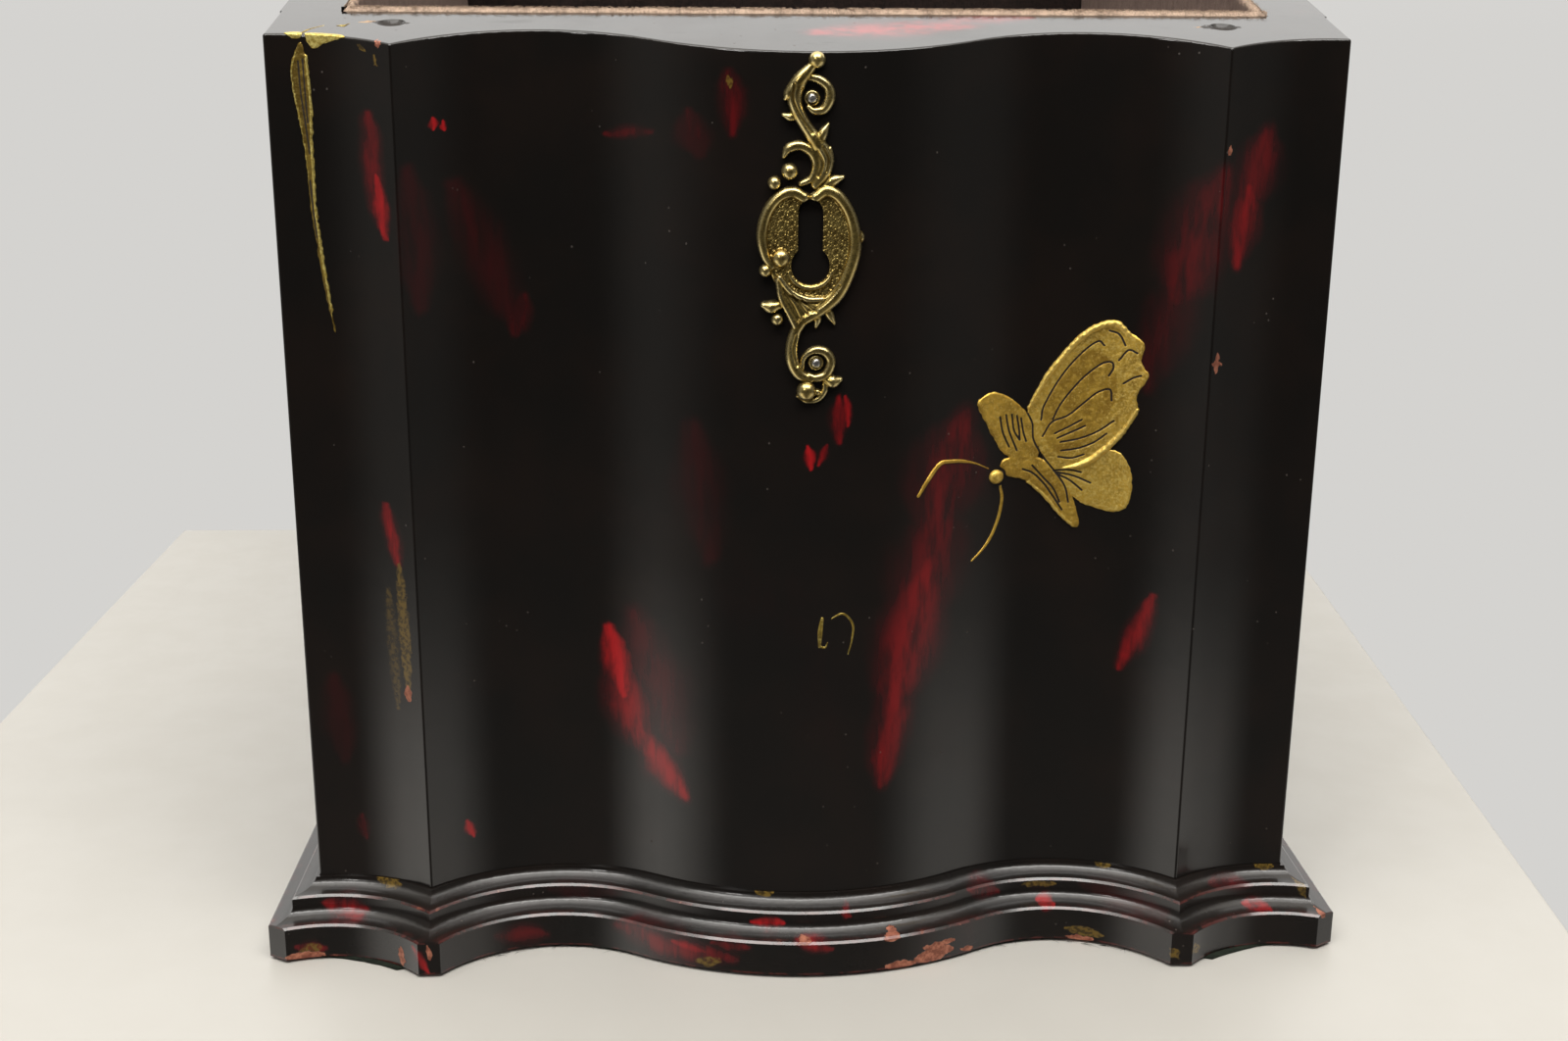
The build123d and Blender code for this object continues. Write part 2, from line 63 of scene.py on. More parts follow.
# The front's plan is five tangent or crossing arcs; the rim is one sloping plane.
bow_radius = 68.0 * mm
flank_radius = 44.0 * mm
flank_x = 57.3 * mm
arris_x = 87.0 * mm
cove_radius = 39.0 * mm
cove_x = 110.0 * mm
rim_slope = math.radians(13.0)
lid_gap = 0.3 * mm
lid_rail = 13.0 * mm
lid_board = 8.0 * mm
felt = 1.8 * mm
felt_proud = 0.8 * mm

bow_y = crown_y + bow_radius
flank_y = bow_y - math.sqrt((bow_radius + flank_radius) ** 2 - flank_x**2)
arris_y = flank_y + math.sqrt(flank_radius**2 - (arris_x - flank_x) ** 2)
cove_y = arris_y - math.sqrt(cove_radius**2 - (arris_x - cove_x) ** 2)
bend_x = flank_x * bow_radius / (bow_radius + flank_radius)

rim_up = Vector((0, -math.sin(rim_slope), math.cos(rim_slope)))
rim_back = Vector((0, math.cos(rim_slope), math.sin(rim_slope)))


def plan_y(x):
    """Depth of the serpentine front at x."""
    x = abs(x)
    if x <= bend_x:
        return bow_y - math.sqrt(bow_radius**2 - x**2)
    if x <= arris_x:
        return flank_y + math.sqrt(flank_radius**2 - (x - flank_x) ** 2)
    return cove_y + math.sqrt(cove_radius**2 - (min(x, half_width) - cove_x) ** 2)


def rim_z(y):
    """Height of the rim plane at y."""
    return front_high.z + math.tan(rim_slope) * (y - inner_front_y)


def on_front(x, z, height):
    """A place that stands height proud of the serpentine front."""
    step = 0.05 * mm
    slope = (plan_y(x + step) - plan_y(x - step)) / (2 * step)
    out = Vector((slope, -1, 0)).normalized()
    return Vector((x, plan_y(x), z)) + out * height


def over_rim_edge(x, along, height):
    """A place near the rim's front edge: along runs back over the rim, or down if negative."""
    edge_y = plan_y(x)
    if along < 0:
        return on_front(x, rim_z(edge_y) + along, height)
    return Vector((x, edge_y, rim_z(edge_y))) + rim_back * along + rim_up * height


def opened(place):
    """A place on the closed lid, swung back to where the lid rests."""
    turn = Matrix.Rotation(-lid_turn, 4, "X")
    return hinge_point + turn @ (Vector(place) - hinge_point)


def on_lid_top(x, along, height):
    """A place on the outer face of the lid: along runs forwards from the hinge line."""
    rise = lid_gap / 2 + lid_rail + lid_board + height
    closed = hinge_point - rim_back * along + rim_up * rise
    return opened(closed + Vector((x, 0, 0)))


# ---------------------------------------------------------------- camera
eye = Vector((-21.4, -521.6, 219.2)) * mm
yaw, pitch, roll = (math.radians(a) for a in (2.25, 16.0, 0.35))
flat_ahead = Vector((math.sin(yaw), math.cos(yaw), 0))
ahead = flat_ahead * math.cos(pitch) - Vector((0, 0, math.sin(pitch)))
level = Vector((math.cos(yaw), -math.sin(yaw), 0))
upright = level.cross(ahead)
right = level * math.cos(roll) + upright * math.sin(roll)
up = upright * math.cos(roll) - level * math.sin(roll)
camera = bpy.data.objects.new("camera", bpy.data.cameras.new("camera"))
camera.data.sensor_width = 36.0
camera.data.lens = 43.2
camera.matrix_world = Matrix.Translation(eye) @ Matrix((right, up, -ahead)).transposed().to_4x4()
camera.data.clip_start = 0.01
bpy.context.scene.collection.objects.link(camera)
bpy.context.scene.camera = camera
bpy.context.scene.view_settings.view_transform = "Standard"


# ---------------------------------------------------------------- node graphs
class Nodes:
    """A node tree, with short calls for the nodes used here."""

    def __init__(self, tree):
        self.tree = tree

    def add(self, kind, **settings):
        node = self.tree.nodes.new("ShaderNode" + kind)
        for key, value in settings.items():
            setattr(node, key, value)
        return node

    def feed(self, socket, value):
        if isinstance(value, bpy.types.NodeSocket):
            self.tree.links.new(value, socket)
        else:
            socket.default_value = value

    def math(self, operation, a, b=0.0, clamp=False):
        node = self.add("Math", operation=operation, use_clamp=clamp)
        self.feed(node.inputs[0], a)
        self.feed(node.inputs[1], b)
        return node.outputs[0]

    def plus(self, a, b, clamp=False):
        return self.math("ADD", a, b, clamp)

    def minus(self, a, b):
        return self.math("SUBTRACT", a, b)

    def times(self, a, b):
        return self.math("MULTIPLY", a, b)

    def largest(self, first, *others):
        for other in others:
            first = self.math("MAXIMUM", first, other)
        return first

    def vector(self, operation, a, b=(0, 0, 0)):
        node = self.add("VectorMath", operation=operation)
        self.feed(node.inputs[0], a)
        if operation == "SCALE":
            self.feed(node.inputs["Scale"], b)
        elif operation != "LENGTH":
            self.feed(node.inputs[1], b)
        return node.outputs["Value" if operation in ("LENGTH", "DOT_PRODUCT") else "Vector"]

    def split(self, place):
        """The X, Y and Z of a place, as numbers."""
        node = self.add("SeparateXYZ")
        self.feed(node.inputs[0], place)
        return node.outputs

    def ease(self, value, low, high, out_low=0.0, out_high=1.0):
        """Smooth step from out_low at low to out_high at high."""
        node = self.add("MapRange", interpolation_type="SMOOTHSTEP")
        for key, item in (("Value", value), ("From Min", low), ("From Max", high)):
            self.feed(node.inputs[key], item)
        node.inputs["To Min"].default_value = out_low
        node.inputs["To Max"].default_value = out_high
        return node.outputs[0]


class Graph(Nodes):
    """A material's node tree round one Principled shader."""

    def __init__(self, name):
        self.material = bpy.data.materials.new(name)
        self.material.use_nodes = True
        super().__init__(self.material.node_tree)
        self.tree.nodes.clear()
        self.shader = self.add("BsdfPrincipled")
        self.tree.links.new(self.shader.outputs[0], self.add("OutputMaterial").inputs["Surface"])
        self.place = self.add("TexCoord").outputs["Object"]

    def set(self, **values):
        """Shader sockets by name, with underscores for spaces."""
        names = {socket.name.lower().replace(" ", "_"): socket for socket in self.shader.inputs}
        for key, value in values.items():
            self.feed(names[key], value)

    def stretched(self, scale, turn=(0, 0, 0), place=None):
        node = self.add("Mapping")
        self.feed(node.inputs["Vector"], place or self.place)
        node.inputs["Scale"].default_value = scale
        node.inputs["Rotation"].default_value = [math.radians(t) for t in turn]
        return node.outputs[0]

    def noise(self, scale, detail=3.0, roughness=0.5, place=None, distortion=0.0, colour=False):
        node = self.add("TexNoise")
        self.feed(node.inputs["Vector"], place or self.place)
        for key, value in (("Scale", scale), ("Detail", detail), ("Roughness", roughness)):
            node.inputs[key].default_value = value
        node.inputs["Distortion"].default_value = distortion
        return node.outputs["Color" if colour else "Fac"]

    def wobbled(self, scale, detail, roughness, reach, place):
        """The surface's own place, pushed about by up to half of reach."""
        push = self.noise(scale, detail, roughness, place, colour=True)
        push = self.vector("SUBTRACT", push, (0.5, 0.5, 0.5))
        return self.vector("ADD", self.place, self.vector("SCALE", push, reach))

    def cells(self, scale, place):
        node = self.add("TexVoronoi", feature="F1")
        self.feed(node.inputs["Vector"], place)
        node.inputs["Scale"].default_value = scale
        return node.outputs["Distance"]

    def blend(self, factor, a, b):
        node = self.add("Mix", data_type="RGBA")
        for socket, value in ((node.inputs[0], factor), (node.inputs[6], a), (node.inputs[7], b)):
            if isinstance(value, tuple):
                value = (*value, 1.0)
            self.feed(socket, value)
        return node.outputs[2]

    def bump(self, height, distance, strength=1.0, below=None):
        node = self.add("Bump")
        self.feed(node.inputs["Height"], height)
        node.inputs["Distance"].default_value = distance
        node.inputs["Strength"].default_value = strength
        if below is not None:
            self.feed(node.inputs["Normal"], below)
        return node.outputs[0]

    def attribute(self, name):
        return self.add("Attribute", attribute_name=name).outputs["Fac"]


def stroke_group():
    """A reusable mask: 1 along a tapering stroke from Start to End, laid over the mask Under."""
    tree = bpy.data.node_groups.new("Stroke", "ShaderNodeTree")
    for name in ("Point", "Start", "End"):
        tree.interface.new_socket(name, in_out="INPUT", socket_type="NodeSocketVector")
    for name in ("Width", "Strength", "Under"):
        tree.interface.new_socket(name, in_out="INPUT", socket_type="NodeSocketFloat")
    tree.interface.new_socket("Mask", in_out="OUTPUT", socket_type="NodeSocketFloat")
    g = Nodes(tree)
    given = tree.nodes.new("NodeGroupInput").outputs
    run = g.vector("SUBTRACT", given["End"], given["Start"])
    reach = g.vector("SUBTRACT", given["Point"], given["Start"])
    length = g.plus(g.vector("DOT_PRODUCT", run, run), 1e-9)
    along = g.math("DIVIDE", g.vector("DOT_PRODUCT", reach, run), length, clamp=True)
    miss = g.vector("LENGTH", g.vector("SUBTRACT", reach, g.vector("SCALE", run, along)))
    belly = g.times(along, g.minus(1.0, along))
    width = g.times(given["Width"], g.plus(g.times(belly, 2.4), 0.4))
    inside = g.math("SUBTRACT", 1.0, g.math("DIVIDE", miss, width), clamp=True)
    mask = g.times(g.ease(inside, 0.0, 0.95), given["Strength"])
    g.feed(tree.nodes.new("NodeGroupOutput").inputs[0], g.largest(mask, given["Under"]))
    return tree


STROKE = stroke_group()


def stroke_masks(graph, point, strokes, flat, mask=0.0):
    """Many strokes, each (start, end, half width, strength) in millimetres, laid over a mask."""
    for start, end, width, strength in strokes:
        node = graph.add("Group", node_tree=STROKE)
        graph.feed(node.inputs["Point"], point)
        ends = [(p[0], 0, p[1]) if flat else p for p in (start, end)]
        for name, place in zip(("Start", "End"), ends):
            node.inputs[name].default_value = [c * mm for c in place]
        node.inputs["Width"].default_value = width * mm
        node.inputs["Strength"].default_value = strength
        graph.feed(node.inputs["Under"], mask)
        mask = node.outputs[0]
    return mask


# ---------------------------------------------------------------- lacquer
BLACK = (0.0098, 0.0086, 0.0078)
SOFT_BROWN = (0.0145, 0.0105, 0.0088)
DEEP_RED = (0.052, 0.0075, 0.0085)
BRIGHT_RED = (0.52, 0.014, 0.017)
WORN_RED = (0.16, 0.030, 0.026)
CLAY = (0.46, 0.17, 0.10)
RUSSET = (0.20, 0.055, 0.028)
BARE_TAN = (0.42, 0.26, 0.14)
TORN_BROWN = (0.014, 0.008, 0.005)
OLIVE_GOLD = (0.16, 0.10, 0.02)
DUST = (0.12, 0.10, 0.085)

front_strokes = [
    ((-92.2, 192), (-92.2, 172), 4.6, 0.44),
    ((-91.6, 179), (-90.6, 166), 2.8, 0.8),
    ((-80.0, 191.6), (-79.2, 189.0), 1.5, 0.8),
    ((-78.0, 190.8), (-77.4, 188.6), 1.1, 0.8),
    ((-84.4, 180), (-83, 152), 7.0, 0.24),
    ((-76, 177), (-63.4, 146), 8.5, 0.24),
    ((-62.4, 153), (-64.5, 144.5), 4.8, 0.34),
    ((-43.6, 188.5), (-34, 188.8), 2.4, 0.36),
    ((-17.3, 201), (-16.8, 189.5), 5.0, 0.40),
    ((-26.6, 193), (-24.0, 184), 6.0, 0.28),
    ((5.0, 133), (6.3, 124), 3.6, 0.62),
    ((6.6, 133), (7.8, 127), 1.8, 0.85),
    ((3.6, 123), (2.2, 118.8), 2.0, 0.7),
    ((-0.6, 123), (0.5, 118), 2.0, 0.85),
    ((-45.4, 76.5), (-42.0, 60), 5.8, 1.0),
    ((-44.5, 69), (-37.2, 47), 9.0, 0.60),
    ((-38.6, 53), (-28.8, 37.5), 6.8, 0.66),
    ((-39, 80), (-30, 50), 13.0, 0.32),
    ((34, 126), (26.5, 102), 15.0, 0.42),
    ((29, 106), (24.5, 80), 15.0, 0.42),
    ((27, 94), (18.6, 60), 13.0, 0.54),
    ((20.5, 72), (16.6, 43), 8.0, 0.52),
    ((79.2, 84.5), (73.0, 66.5), 4.4, 0.6),
    ((87, 180), (79.5, 153), 12.0, 0.38),
    ((81, 160), (75, 133), 9.0, 0.28),
    ((97.6, 189), (92.4, 173), 9.5, 0.42),
    ((93.0, 177), (92.3, 161), 6.8, 0.56),
    ((-93.3, 108), (-91.2, 94), 3.6, 0.62),
    ((-78.9, 30.4), (-77.2, 26.4), 2.0, 0.85),
    ((-103.8, 32), (-102.3, 26), 2.6, 0.4),
    ((-26, 126), (-22, 97), 10.0, 0.22),
    ((-108, 66), (-107, 46), 7.0, 0.2),
]
front_gold = [
    ((-91.0, 94), (-90.2, 64), 2.2, 0.75),
    ((-94.0, 88), (-93.0, 60), 3.0, 0.30),
    ((-17.9, 200.3), (-17.2, 198.2), 1.0, 1.0),
    ((-94.1, 206.0), (-92.7, 204.9), 0.8, 1.0),
    ((-90.6, 203.9), (-90.2, 202.0), 0.7, 0.7),
]
front_clay = [
    ((-90.5, 65.2), (-90.2, 62.2), 1.3, 1.0),
    ((87.6, 139.7), (89.6, 139.2), 1.1, 1.0),
    ((88.6, 141.8), (88.4, 137.6), 0.8, 1.0),
    ((88.0, 186.2), (88.0, 184.4), 0.8, 1.0),
    ((-90.0, 206.8), (-89.6, 205.8), 1.0, 1.0),
]
rim_strokes = [
    ((0, -112, 209), (34, -106, 210), 13.0, 0.62),
    ((18, -104, 211), (48, -100, 212), 7.0, 0.5),
    ((-112, -70, 218), (-110, -30, 227), 9.0, 0.5),
    ((108, -40, 225), (104, 10, 236), 9.0, 0.5),
    ((-58, -113, 208.4), (-54, -113, 208.4), 2.4, 1.0),
]
rim_scars = [
    (BARE_TAN, [((-95.6, -105.6, 210.2), (-92.6, -105.0, 210.2), 1.3, 1.0),
                ((-89.0, -105.6, 210.2), (-86.6, -105.9, 210.2), 0.9, 1.0),
                ((83.0, -106.4, 210), (91.0, -105.8, 210), 1.1, 0.8)]),
    (TORN_BROWN, [((-92.8, -105.4, 209.4), (-85.6, -106.2, 209.4), 3.6, 1.0),
                  ((84.0, -106.0, 209.4), (92.4, -106.0, 209.4), 3.4, 1.0)]),
]
plinth_strokes = [
    ((-112, 11.5), (-102, 10.5), 4.2, 0.55),
    ((-118, 3.2), (-112, 3.0), 3.0, 0.5),
    ((-72, 5.4), (-61, 4.2), 4.6, 0.38),
    ((-44, 6.4), (-18, 3.6), 6.5, 0.46),
    ((-31, 7.2), (-24, 4.4), 3.2, 0.6),
    ((-22, 7.6), (-14, 7.0), 3.2, 0.45),
    ((-13, 10.8), (-6, 11.2), 2.4, 0.8),
    ((-3, 8.4), (5, 7.2), 3.0, 0.6),
    ((7, 13.6), (9, 12.8), 2.2, 0.6),
    ((38, 13.4), (46, 11.8), 3.6, 0.42),
    ((55, 9.2), (59, 8.2), 2.4, 0.7),
    ((66, 12), (84, 10.6), 5.0, 0.22),
    ((96, 14), (106, 13.4), 2.4, 0.34),
    ((104, 9.4), (110, 8.6), 2.6, 0.6),
    ((-60, 12.6), (-44, 11.8), 4.0, 0.2),
    ((-90, 7.0), (-87, 1.5), 2.2, 0.7),
]
plinth_gold = [
    ((-25.6, 2.4), (-20.2, 3.2), 2.0, 0.7),
    ((-117, 2.6), (-113, 3.2), 2.4, 0.8),
    ((62, 3.4), (70, 2.6), 1.8, 0.9),
    ((84, 4.6), (85.6, 2.4), 1.7, 0.9),
    ((89.6, 5.4), (90.4, 3.0), 1.6, 0.9),
    ((116.6, 15.6), (119, 11.0), 1.8, 0.8),
    ((108, 16.4), (112, 16.2), 1.4, 0.9),
    ((52, 12.6), (60, 12.4), 1.4, 0.6),
    ((-100, 16.2), (-95, 15.6), 1.7, 0.8),
    ((-12, 16.3), (-8, 16.2), 1.2, 0.7),
    ((70, 16.3), (73, 16.2), 1.2, 0.9),
]
plinth_clay = [
    ((25.2, 2.2), (33.4, 3.0), 2.5, 1.0),
    ((27, 4.6), (34, 5.0), 1.1, 1.0),
    ((18, 1.4), (24.6, 1.5), 1.5, 1.0),
    ((17.6, 8.6), (20.6, 8.7), 1.2, 1.0),
    ((36, 2.0), (39, 1.6), 1.0, 0.8),
    ((62, 1.4), (68, 1.2), 0.9, 1.0),
    ((-120.6, 1.6), (-112, 1.4), 1.2, 1.0),
    ((-93.4, 5.6), (-93.0, 1.2), 1.0, 1.0),
    ((-86.6, 7.8), (-86.2, 4.6), 0.9, 1.0),
    ((120.6, 9.4), (124, 8.4), 1.3, 1.0),
    ((-2.4, 8.8), (0.4, 8.8), 0.7, 1.0),
]


def lacquer(name, strokes=(), gold=(), clay=(), deep=(), scars=(), mottle=0.35, edges=(), seed=0.0,
            satin=0.0):
    """High-gloss black japanning with red tortoiseshell strokes under the top coat.

    strokes, gold and clay are drawn on the front, deep and scars in space; edges are heights
    (low, high) where the coat is rubbed through along a moulding's edge. mottle is how strongly
    the ground clouds red, seed moves every pattern, and satin is added to the roughness.
    """
    g = Graph(name)
    place = g.vector("ADD", g.place, (seed, seed * 0.7, seed * 1.3))
    broken = g.wobbled(70, 4, 0.62, 5.0 * mm, place)
    flat = g.vector("MULTIPLY", broken, (1, 0, 1))
    drawn = g.stretched((360, 360, 70), (0, 24, 0), place)
    streaks = g.ease(g.noise(1.0, 4, 0.62, drawn), 0.28, 0.62, 0.55, 1.0)
    slanted = g.stretched((26, 26, 9), (0, 25, 0), place)
    cloud = g.noise(1.0, 3, 0.55, slanted, 0.4)
    red = g.times(g.ease(cloud, 0.58, 0.80), mottle)
    red = stroke_masks(g, flat, strokes, True, red)
    red = stroke_masks(g, broken, deep, False, red)
    red = g.times(red, streaks)
    depth = g.noise(38, 4, 0.6, place)
    colour = g.blend(g.ease(depth, 0.35, 0.75), BLACK, SOFT_BROWN)
    colour = g.blend(g.ease(red, 0.0, 0.42), colour, DEEP_RED)
    colour = g.blend(g.ease(red, 0.22, 1.0), colour, BRIGHT_RED)
    ragged = g.vector("MULTIPLY", g.wobbled(700, 3, 0.6, 1.6 * mm, place), (1, 0, 1))
    if gold:
        grains = g.ease(g.noise(1100, 2, 0.6, place), 0.38, 0.6, 0.25, 1.0)
        leaf = g.times(g.ease(stroke_masks(g, ragged, gold, True), 0.1, 0.5), grains)
        colour = g.blend(leaf, colour, OLIVE_GOLD)
    sparse = g.ease(g.noise(75, 2, 0.5, place), 0.56, 0.62)
    specks = g.times(g.ease(g.cells(330, place), 0.085, 0.05), sparse)
    colour = g.blend(g.times(specks, 0.55), colour, DUST)
    rough = g.ease(g.noise(55, 4, 0.6, place), 0.3, 0.75, 0.09 + satin, 0.17 + satin)
    wiped = g.stretched((60, 60, 1500), (0, 62, 0), place)
    scuffs = g.ease(g.noise(1.0, 3, 0.6, wiped), 0.66, 0.72)
    rough = g.plus(rough, g.times(scuffs, 0.08))
    rough = g.plus(rough, g.times(specks, 0.4))
    waves = g.bump(g.noise(120, 2, 0.5, place), 0.04 * mm, 0.3)
    surface = g.bump(specks, 0.06 * mm, 0.5, waves)
    if clay:
        gone = g.ease(stroke_masks(g, ragged, clay, True), 0.12, 0.22)
        tone = g.blend(g.ease(g.noise(900, 3, 0.6, place), 0.35, 0.65), CLAY, RUSSET)
        colour = g.blend(gone, colour, tone)
        rough = g.plus(rough, g.times(gone, 0.6))
        if not scars:
            surface = g.bump(g.times(gone, -1.0), 0.3 * mm, 1.0, surface)
    if scars:
        chewed = g.wobbled(900, 4, 0.7, 2.6 * mm, place)
        for tone, marks in scars:
            mark = g.ease(stroke_masks(g, chewed, marks, False), 0.2, 0.45)
            colour = g.blend(mark, colour, tone)
            rough = g.plus(rough, g.times(mark, 0.7), clamp=True)
    if edges:
        height = g.split(g.place)["Z"]
        thin = g.noise(210, 4, 0.7, place)
        rubs = []
        for low, high in edges:
            off = g.math("ABSOLUTE", g.minus(height, (low + high) / 2 * mm))
            rubs.append(g.ease(off, (high - low) * mm / 2, 0.0))
        rubbed = g.largest(*rubs)
        faint = g.times(rubbed, g.ease(thin, 0.42, 0.60))
        through = g.times(rubbed, g.ease(thin, 0.64, 0.70))
        colour = g.blend(g.times(faint, 0.45), colour, WORN_RED)
        colour = g.blend(through, colour, RUSSET)
        rough = g.plus(rough, g.times(through, 0.2), clamp=True)
    g.set(base_color=colour, roughness=rough, normal=surface, coat_normal=surface)
    g.set(ior=1.5, coat_weight=0.3, coat_roughness=0.05, coat_ior=1.5)
    return g.material


# ---------------------------------------------------------------- other materials
def gilding(name, bright, shade, pale, groove):
    """Thick burnished leaf: granular, paler where it stands proud, with dark incised lines."""
    g = Graph(name)
    grain = g.noise(1900, 4, 0.75)
    crinkle = g.noise(520, 4, 0.65, distortion=0.6)
    patches = g.noise(130, 3, 0.6)
    tone = g.attribute("tone")
    mix = g.plus(g.times(crinkle, 0.5), g.times(patches, 0.5))
    mix = g.plus(mix, g.times(g.minus(tone, 0.5), 0.32))
    colour = g.blend(g.ease(mix, 0.36, 0.66), shade, bright)
    flecks = g.ease(g.plus(grain, g.times(tone, 0.26)), 0.60, 0.84)
    colour = g.blend(g.times(flecks, 0.8), colour, pale)
    cut = g.attribute("groove")
    worn = g.ease(g.noise(340, 4, 0.7), 0.70, 0.75)
    dark = g.largest(g.ease(cut, 0.16, 0.46), g.times(worn, 0.5))
    colour = g.blend(dark, colour, groove)
    metal = g.ease(dark, 0.0, 0.6, 0.62, 0.0)
    rough = g.plus(g.ease(grain, 0.3, 0.7, 0.30, 0.5), g.times(dark, 0.3))
    normal = g.bump(crinkle, 0.12 * mm, 0.8)
    normal = g.bump(grain, 0.08 * mm, 0.9, normal)
    g.set(base_color=colour, metallic=metal, roughness=rough, normal=normal)
    return g.material


def cast_brass(name, bright, shade, recess):
    """Old cast brass, rubbed bright on its high places and dark in its hollows."""
    g = Graph(name)
    patches = g.noise(260, 4, 0.6)
    fine = g.noise(1700, 3, 0.6)
    colour = g.blend(g.ease(patches, 0.35, 0.65), shade, bright)
    polish = g.times(g.ease(g.attribute("tone"), 0.15, 0.9), 0.7)
    colour = g.blend(polish, colour, (0.80, 0.68, 0.34))
    dark = g.ease(g.attribute("groove"), 0.05, 0.8, 0.0, 0.94)
    colour = g.blend(dark, colour, recess)
    rough = g.plus(g.ease(fine, 0.3, 0.7, 0.20, 0.33), g.times(dark, 0.3))
    normal = g.bump(fine, 0.015 * mm, 0.3)
    normal = g.bump(patches, 0.05 * mm, 0.2, normal)
    g.set(base_color=colour, metallic=0.94, roughness=rough, normal=normal)
    return g.material


def drawn_metal(name, bright, shade, scratches, rough_low, rough_high):
    """Sheet or bar metal with fine directional scratches and patchy tarnish."""
    g = Graph(name)
    lines = g.noise(1.0, 3, 0.6, g.stretched((180, 5200, 5200)))
    patches = g.noise(130, 4, 0.65)
    colour = g.blend(g.ease(patches, 0.35, 0.7), bright, shade)
    rough = g.ease(lines, 0.3, 0.7, rough_low, rough_high)
    normal = g.bump(lines, 0.012 * mm, scratches)
    g.set(base_color=colour, metallic=0.95, roughness=rough, normal=normal)
    return g.material


def wool(name, pale, dark, fuzz, lit_edge=None):
    """Felted wool: clumped fibres, darker where they part, with a soft sheen.

    lit_edge is the pale colour painted on the upper edge, which stands above the rim in the light:
    a painted highlight over the felt's own colour.
    """
    g = Graph(name)
    clumps = g.noise(420, 5, 0.7)
    threads = g.noise(1.0, 4, 0.7, g.stretched((2600, 2600, 700), (20, 35, 10)))
    stain = g.noise(24, 3, 0.6)
    mix = g.plus(g.times(clumps, 0.5), g.times(threads, 0.5))
    colour = g.blend(g.ease(mix, 0.36, 0.64), dark, pale)
    colour = g.blend(g.ease(stain, 0.45, 0.75, 0.0, 0.5), colour, dark)
    # Painted highlight: felt above the rim plane is coloured a pale lit tan, ragged along its
    # lower edge.
    if lit_edge:
        _, depth, height = g.split(g.place)
        slope = g.times(g.minus(depth, inner_front_y), math.tan(rim_slope))
        above = g.minus(g.minus(height, front_high.z), slope)
        ragged = g.plus(above, g.times(g.minus(clumps, 0.5), 3.0 * mm))
        light = g.blend(g.ease(mix, 0.36, 0.62), tuple(c * 0.42 for c in lit_edge), lit_edge)
        colour = g.blend(g.ease(ragged, -1.8 * mm, 0.1 * mm), colour, light)
    rough = g.ease(clumps, 0.3, 0.7, 0.85, 1.0)
    normal = g.bump(clumps, 0.5 * mm, 0.8)
    normal = g.bump(threads, 0.2 * mm, 0.8, normal)
    g.set(base_color=colour, roughness=rough, normal=normal)
    g.set(sheen_weight=0.4, sheen_roughness=0.5, sheen_tint=(*fuzz, 1.0), specular_ior_level=0.2)
    return g.material


def bare_wood(name):
    """Planed softwood with long grain."""
    g = Graph(name)
    grain = g.noise(1.0, 5, 0.6, g.stretched((6, 60, 60)), 1.2)
    rings = g.noise(1.0, 3, 0.5, g.stretched((30, 700, 700)))
    mix = g.plus(g.times(grain, 0.7), g.times(rings, 0.3))
    colour = g.blend(g.ease(mix, 0.35, 0.65), (0.20, 0.11, 0.05), (0.46, 0.30, 0.16))
    rough = g.ease(rings, 0.3, 0.7, 0.55, 0.8)
    g.set(base_color=colour, roughness=rough, normal=g.bump(rings, 0.08 * mm, 0.6))
    return g.material


front_lacquer = lacquer("front_lacquer", front_strokes, front_gold, front_clay, rim_strokes,
                        rim_scars, mottle=0.12)
side_lacquer = lacquer("side_lacquer", mottle=0.8, seed=0.31)
back_lacquer = lacquer("back_lacquer", mottle=0.6, seed=0.77)
rail_lacquer = lacquer("rail_lacquer", mottle=0.55, seed=0.53)
lid_lacquer = lacquer("lid_lacquer", mottle=0.85, seed=1.21)
plinth_edges = ((8.2, 9.1), (13.2, 14.0), (0.5, 1.5))
plinth_front_lacquer = lacquer("plinth_front_lacquer", plinth_strokes, plinth_gold, plinth_clay,
                               mottle=0.3, edges=plinth_edges, seed=0.12, satin=0.12)
plinth_lacquer = lacquer("plinth_lacquer", mottle=0.7, edges=plinth_edges, seed=0.12, satin=0.12)
butterfly_gilt = gilding("butterfly_gilt", (0.90, 0.57, 0.085), (0.50, 0.29, 0.04),
                         (1.0, 0.76, 0.22), (0.012, 0.006, 0.004))
leaf_gilt = gilding("leaf_gilt", (0.52, 0.36, 0.06), (0.19, 0.12, 0.02), (0.95, 0.82, 0.28),
                    (0.02, 0.012, 0.005))
plate_brass = cast_brass("plate_brass", (0.62, 0.46, 0.14), (0.38, 0.26, 0.07),
                         (0.030, 0.019, 0.007))
hinge_brass = drawn_metal("hinge_brass", (0.60, 0.44, 0.19), (0.30, 0.21, 0.09), 0.5, 0.25, 0.45)
stud_brass = drawn_metal("stud_brass", (0.62, 0.46, 0.20), (0.36, 0.25, 0.10), 0.3, 0.2, 0.35)
pin_steel = drawn_metal("pin_steel", (0.62, 0.61, 0.59), (0.30, 0.28, 0.26), 0.4, 0.18, 0.4)
screw_steel = drawn_metal("screw_steel", (0.36, 0.34, 0.31), (0.16, 0.13, 0.11), 0.5, 0.3, 0.5)
# Pale tan painted on the linings' top edges as the light that falls on them.
lit_edge_tan = (0.60, 0.44, 0.33)
edge_felt = wool("edge_felt", (0.17, 0.115, 0.095), (0.07, 0.042, 0.035), (0.5, 0.38, 0.32),
                 lit_edge_tan)
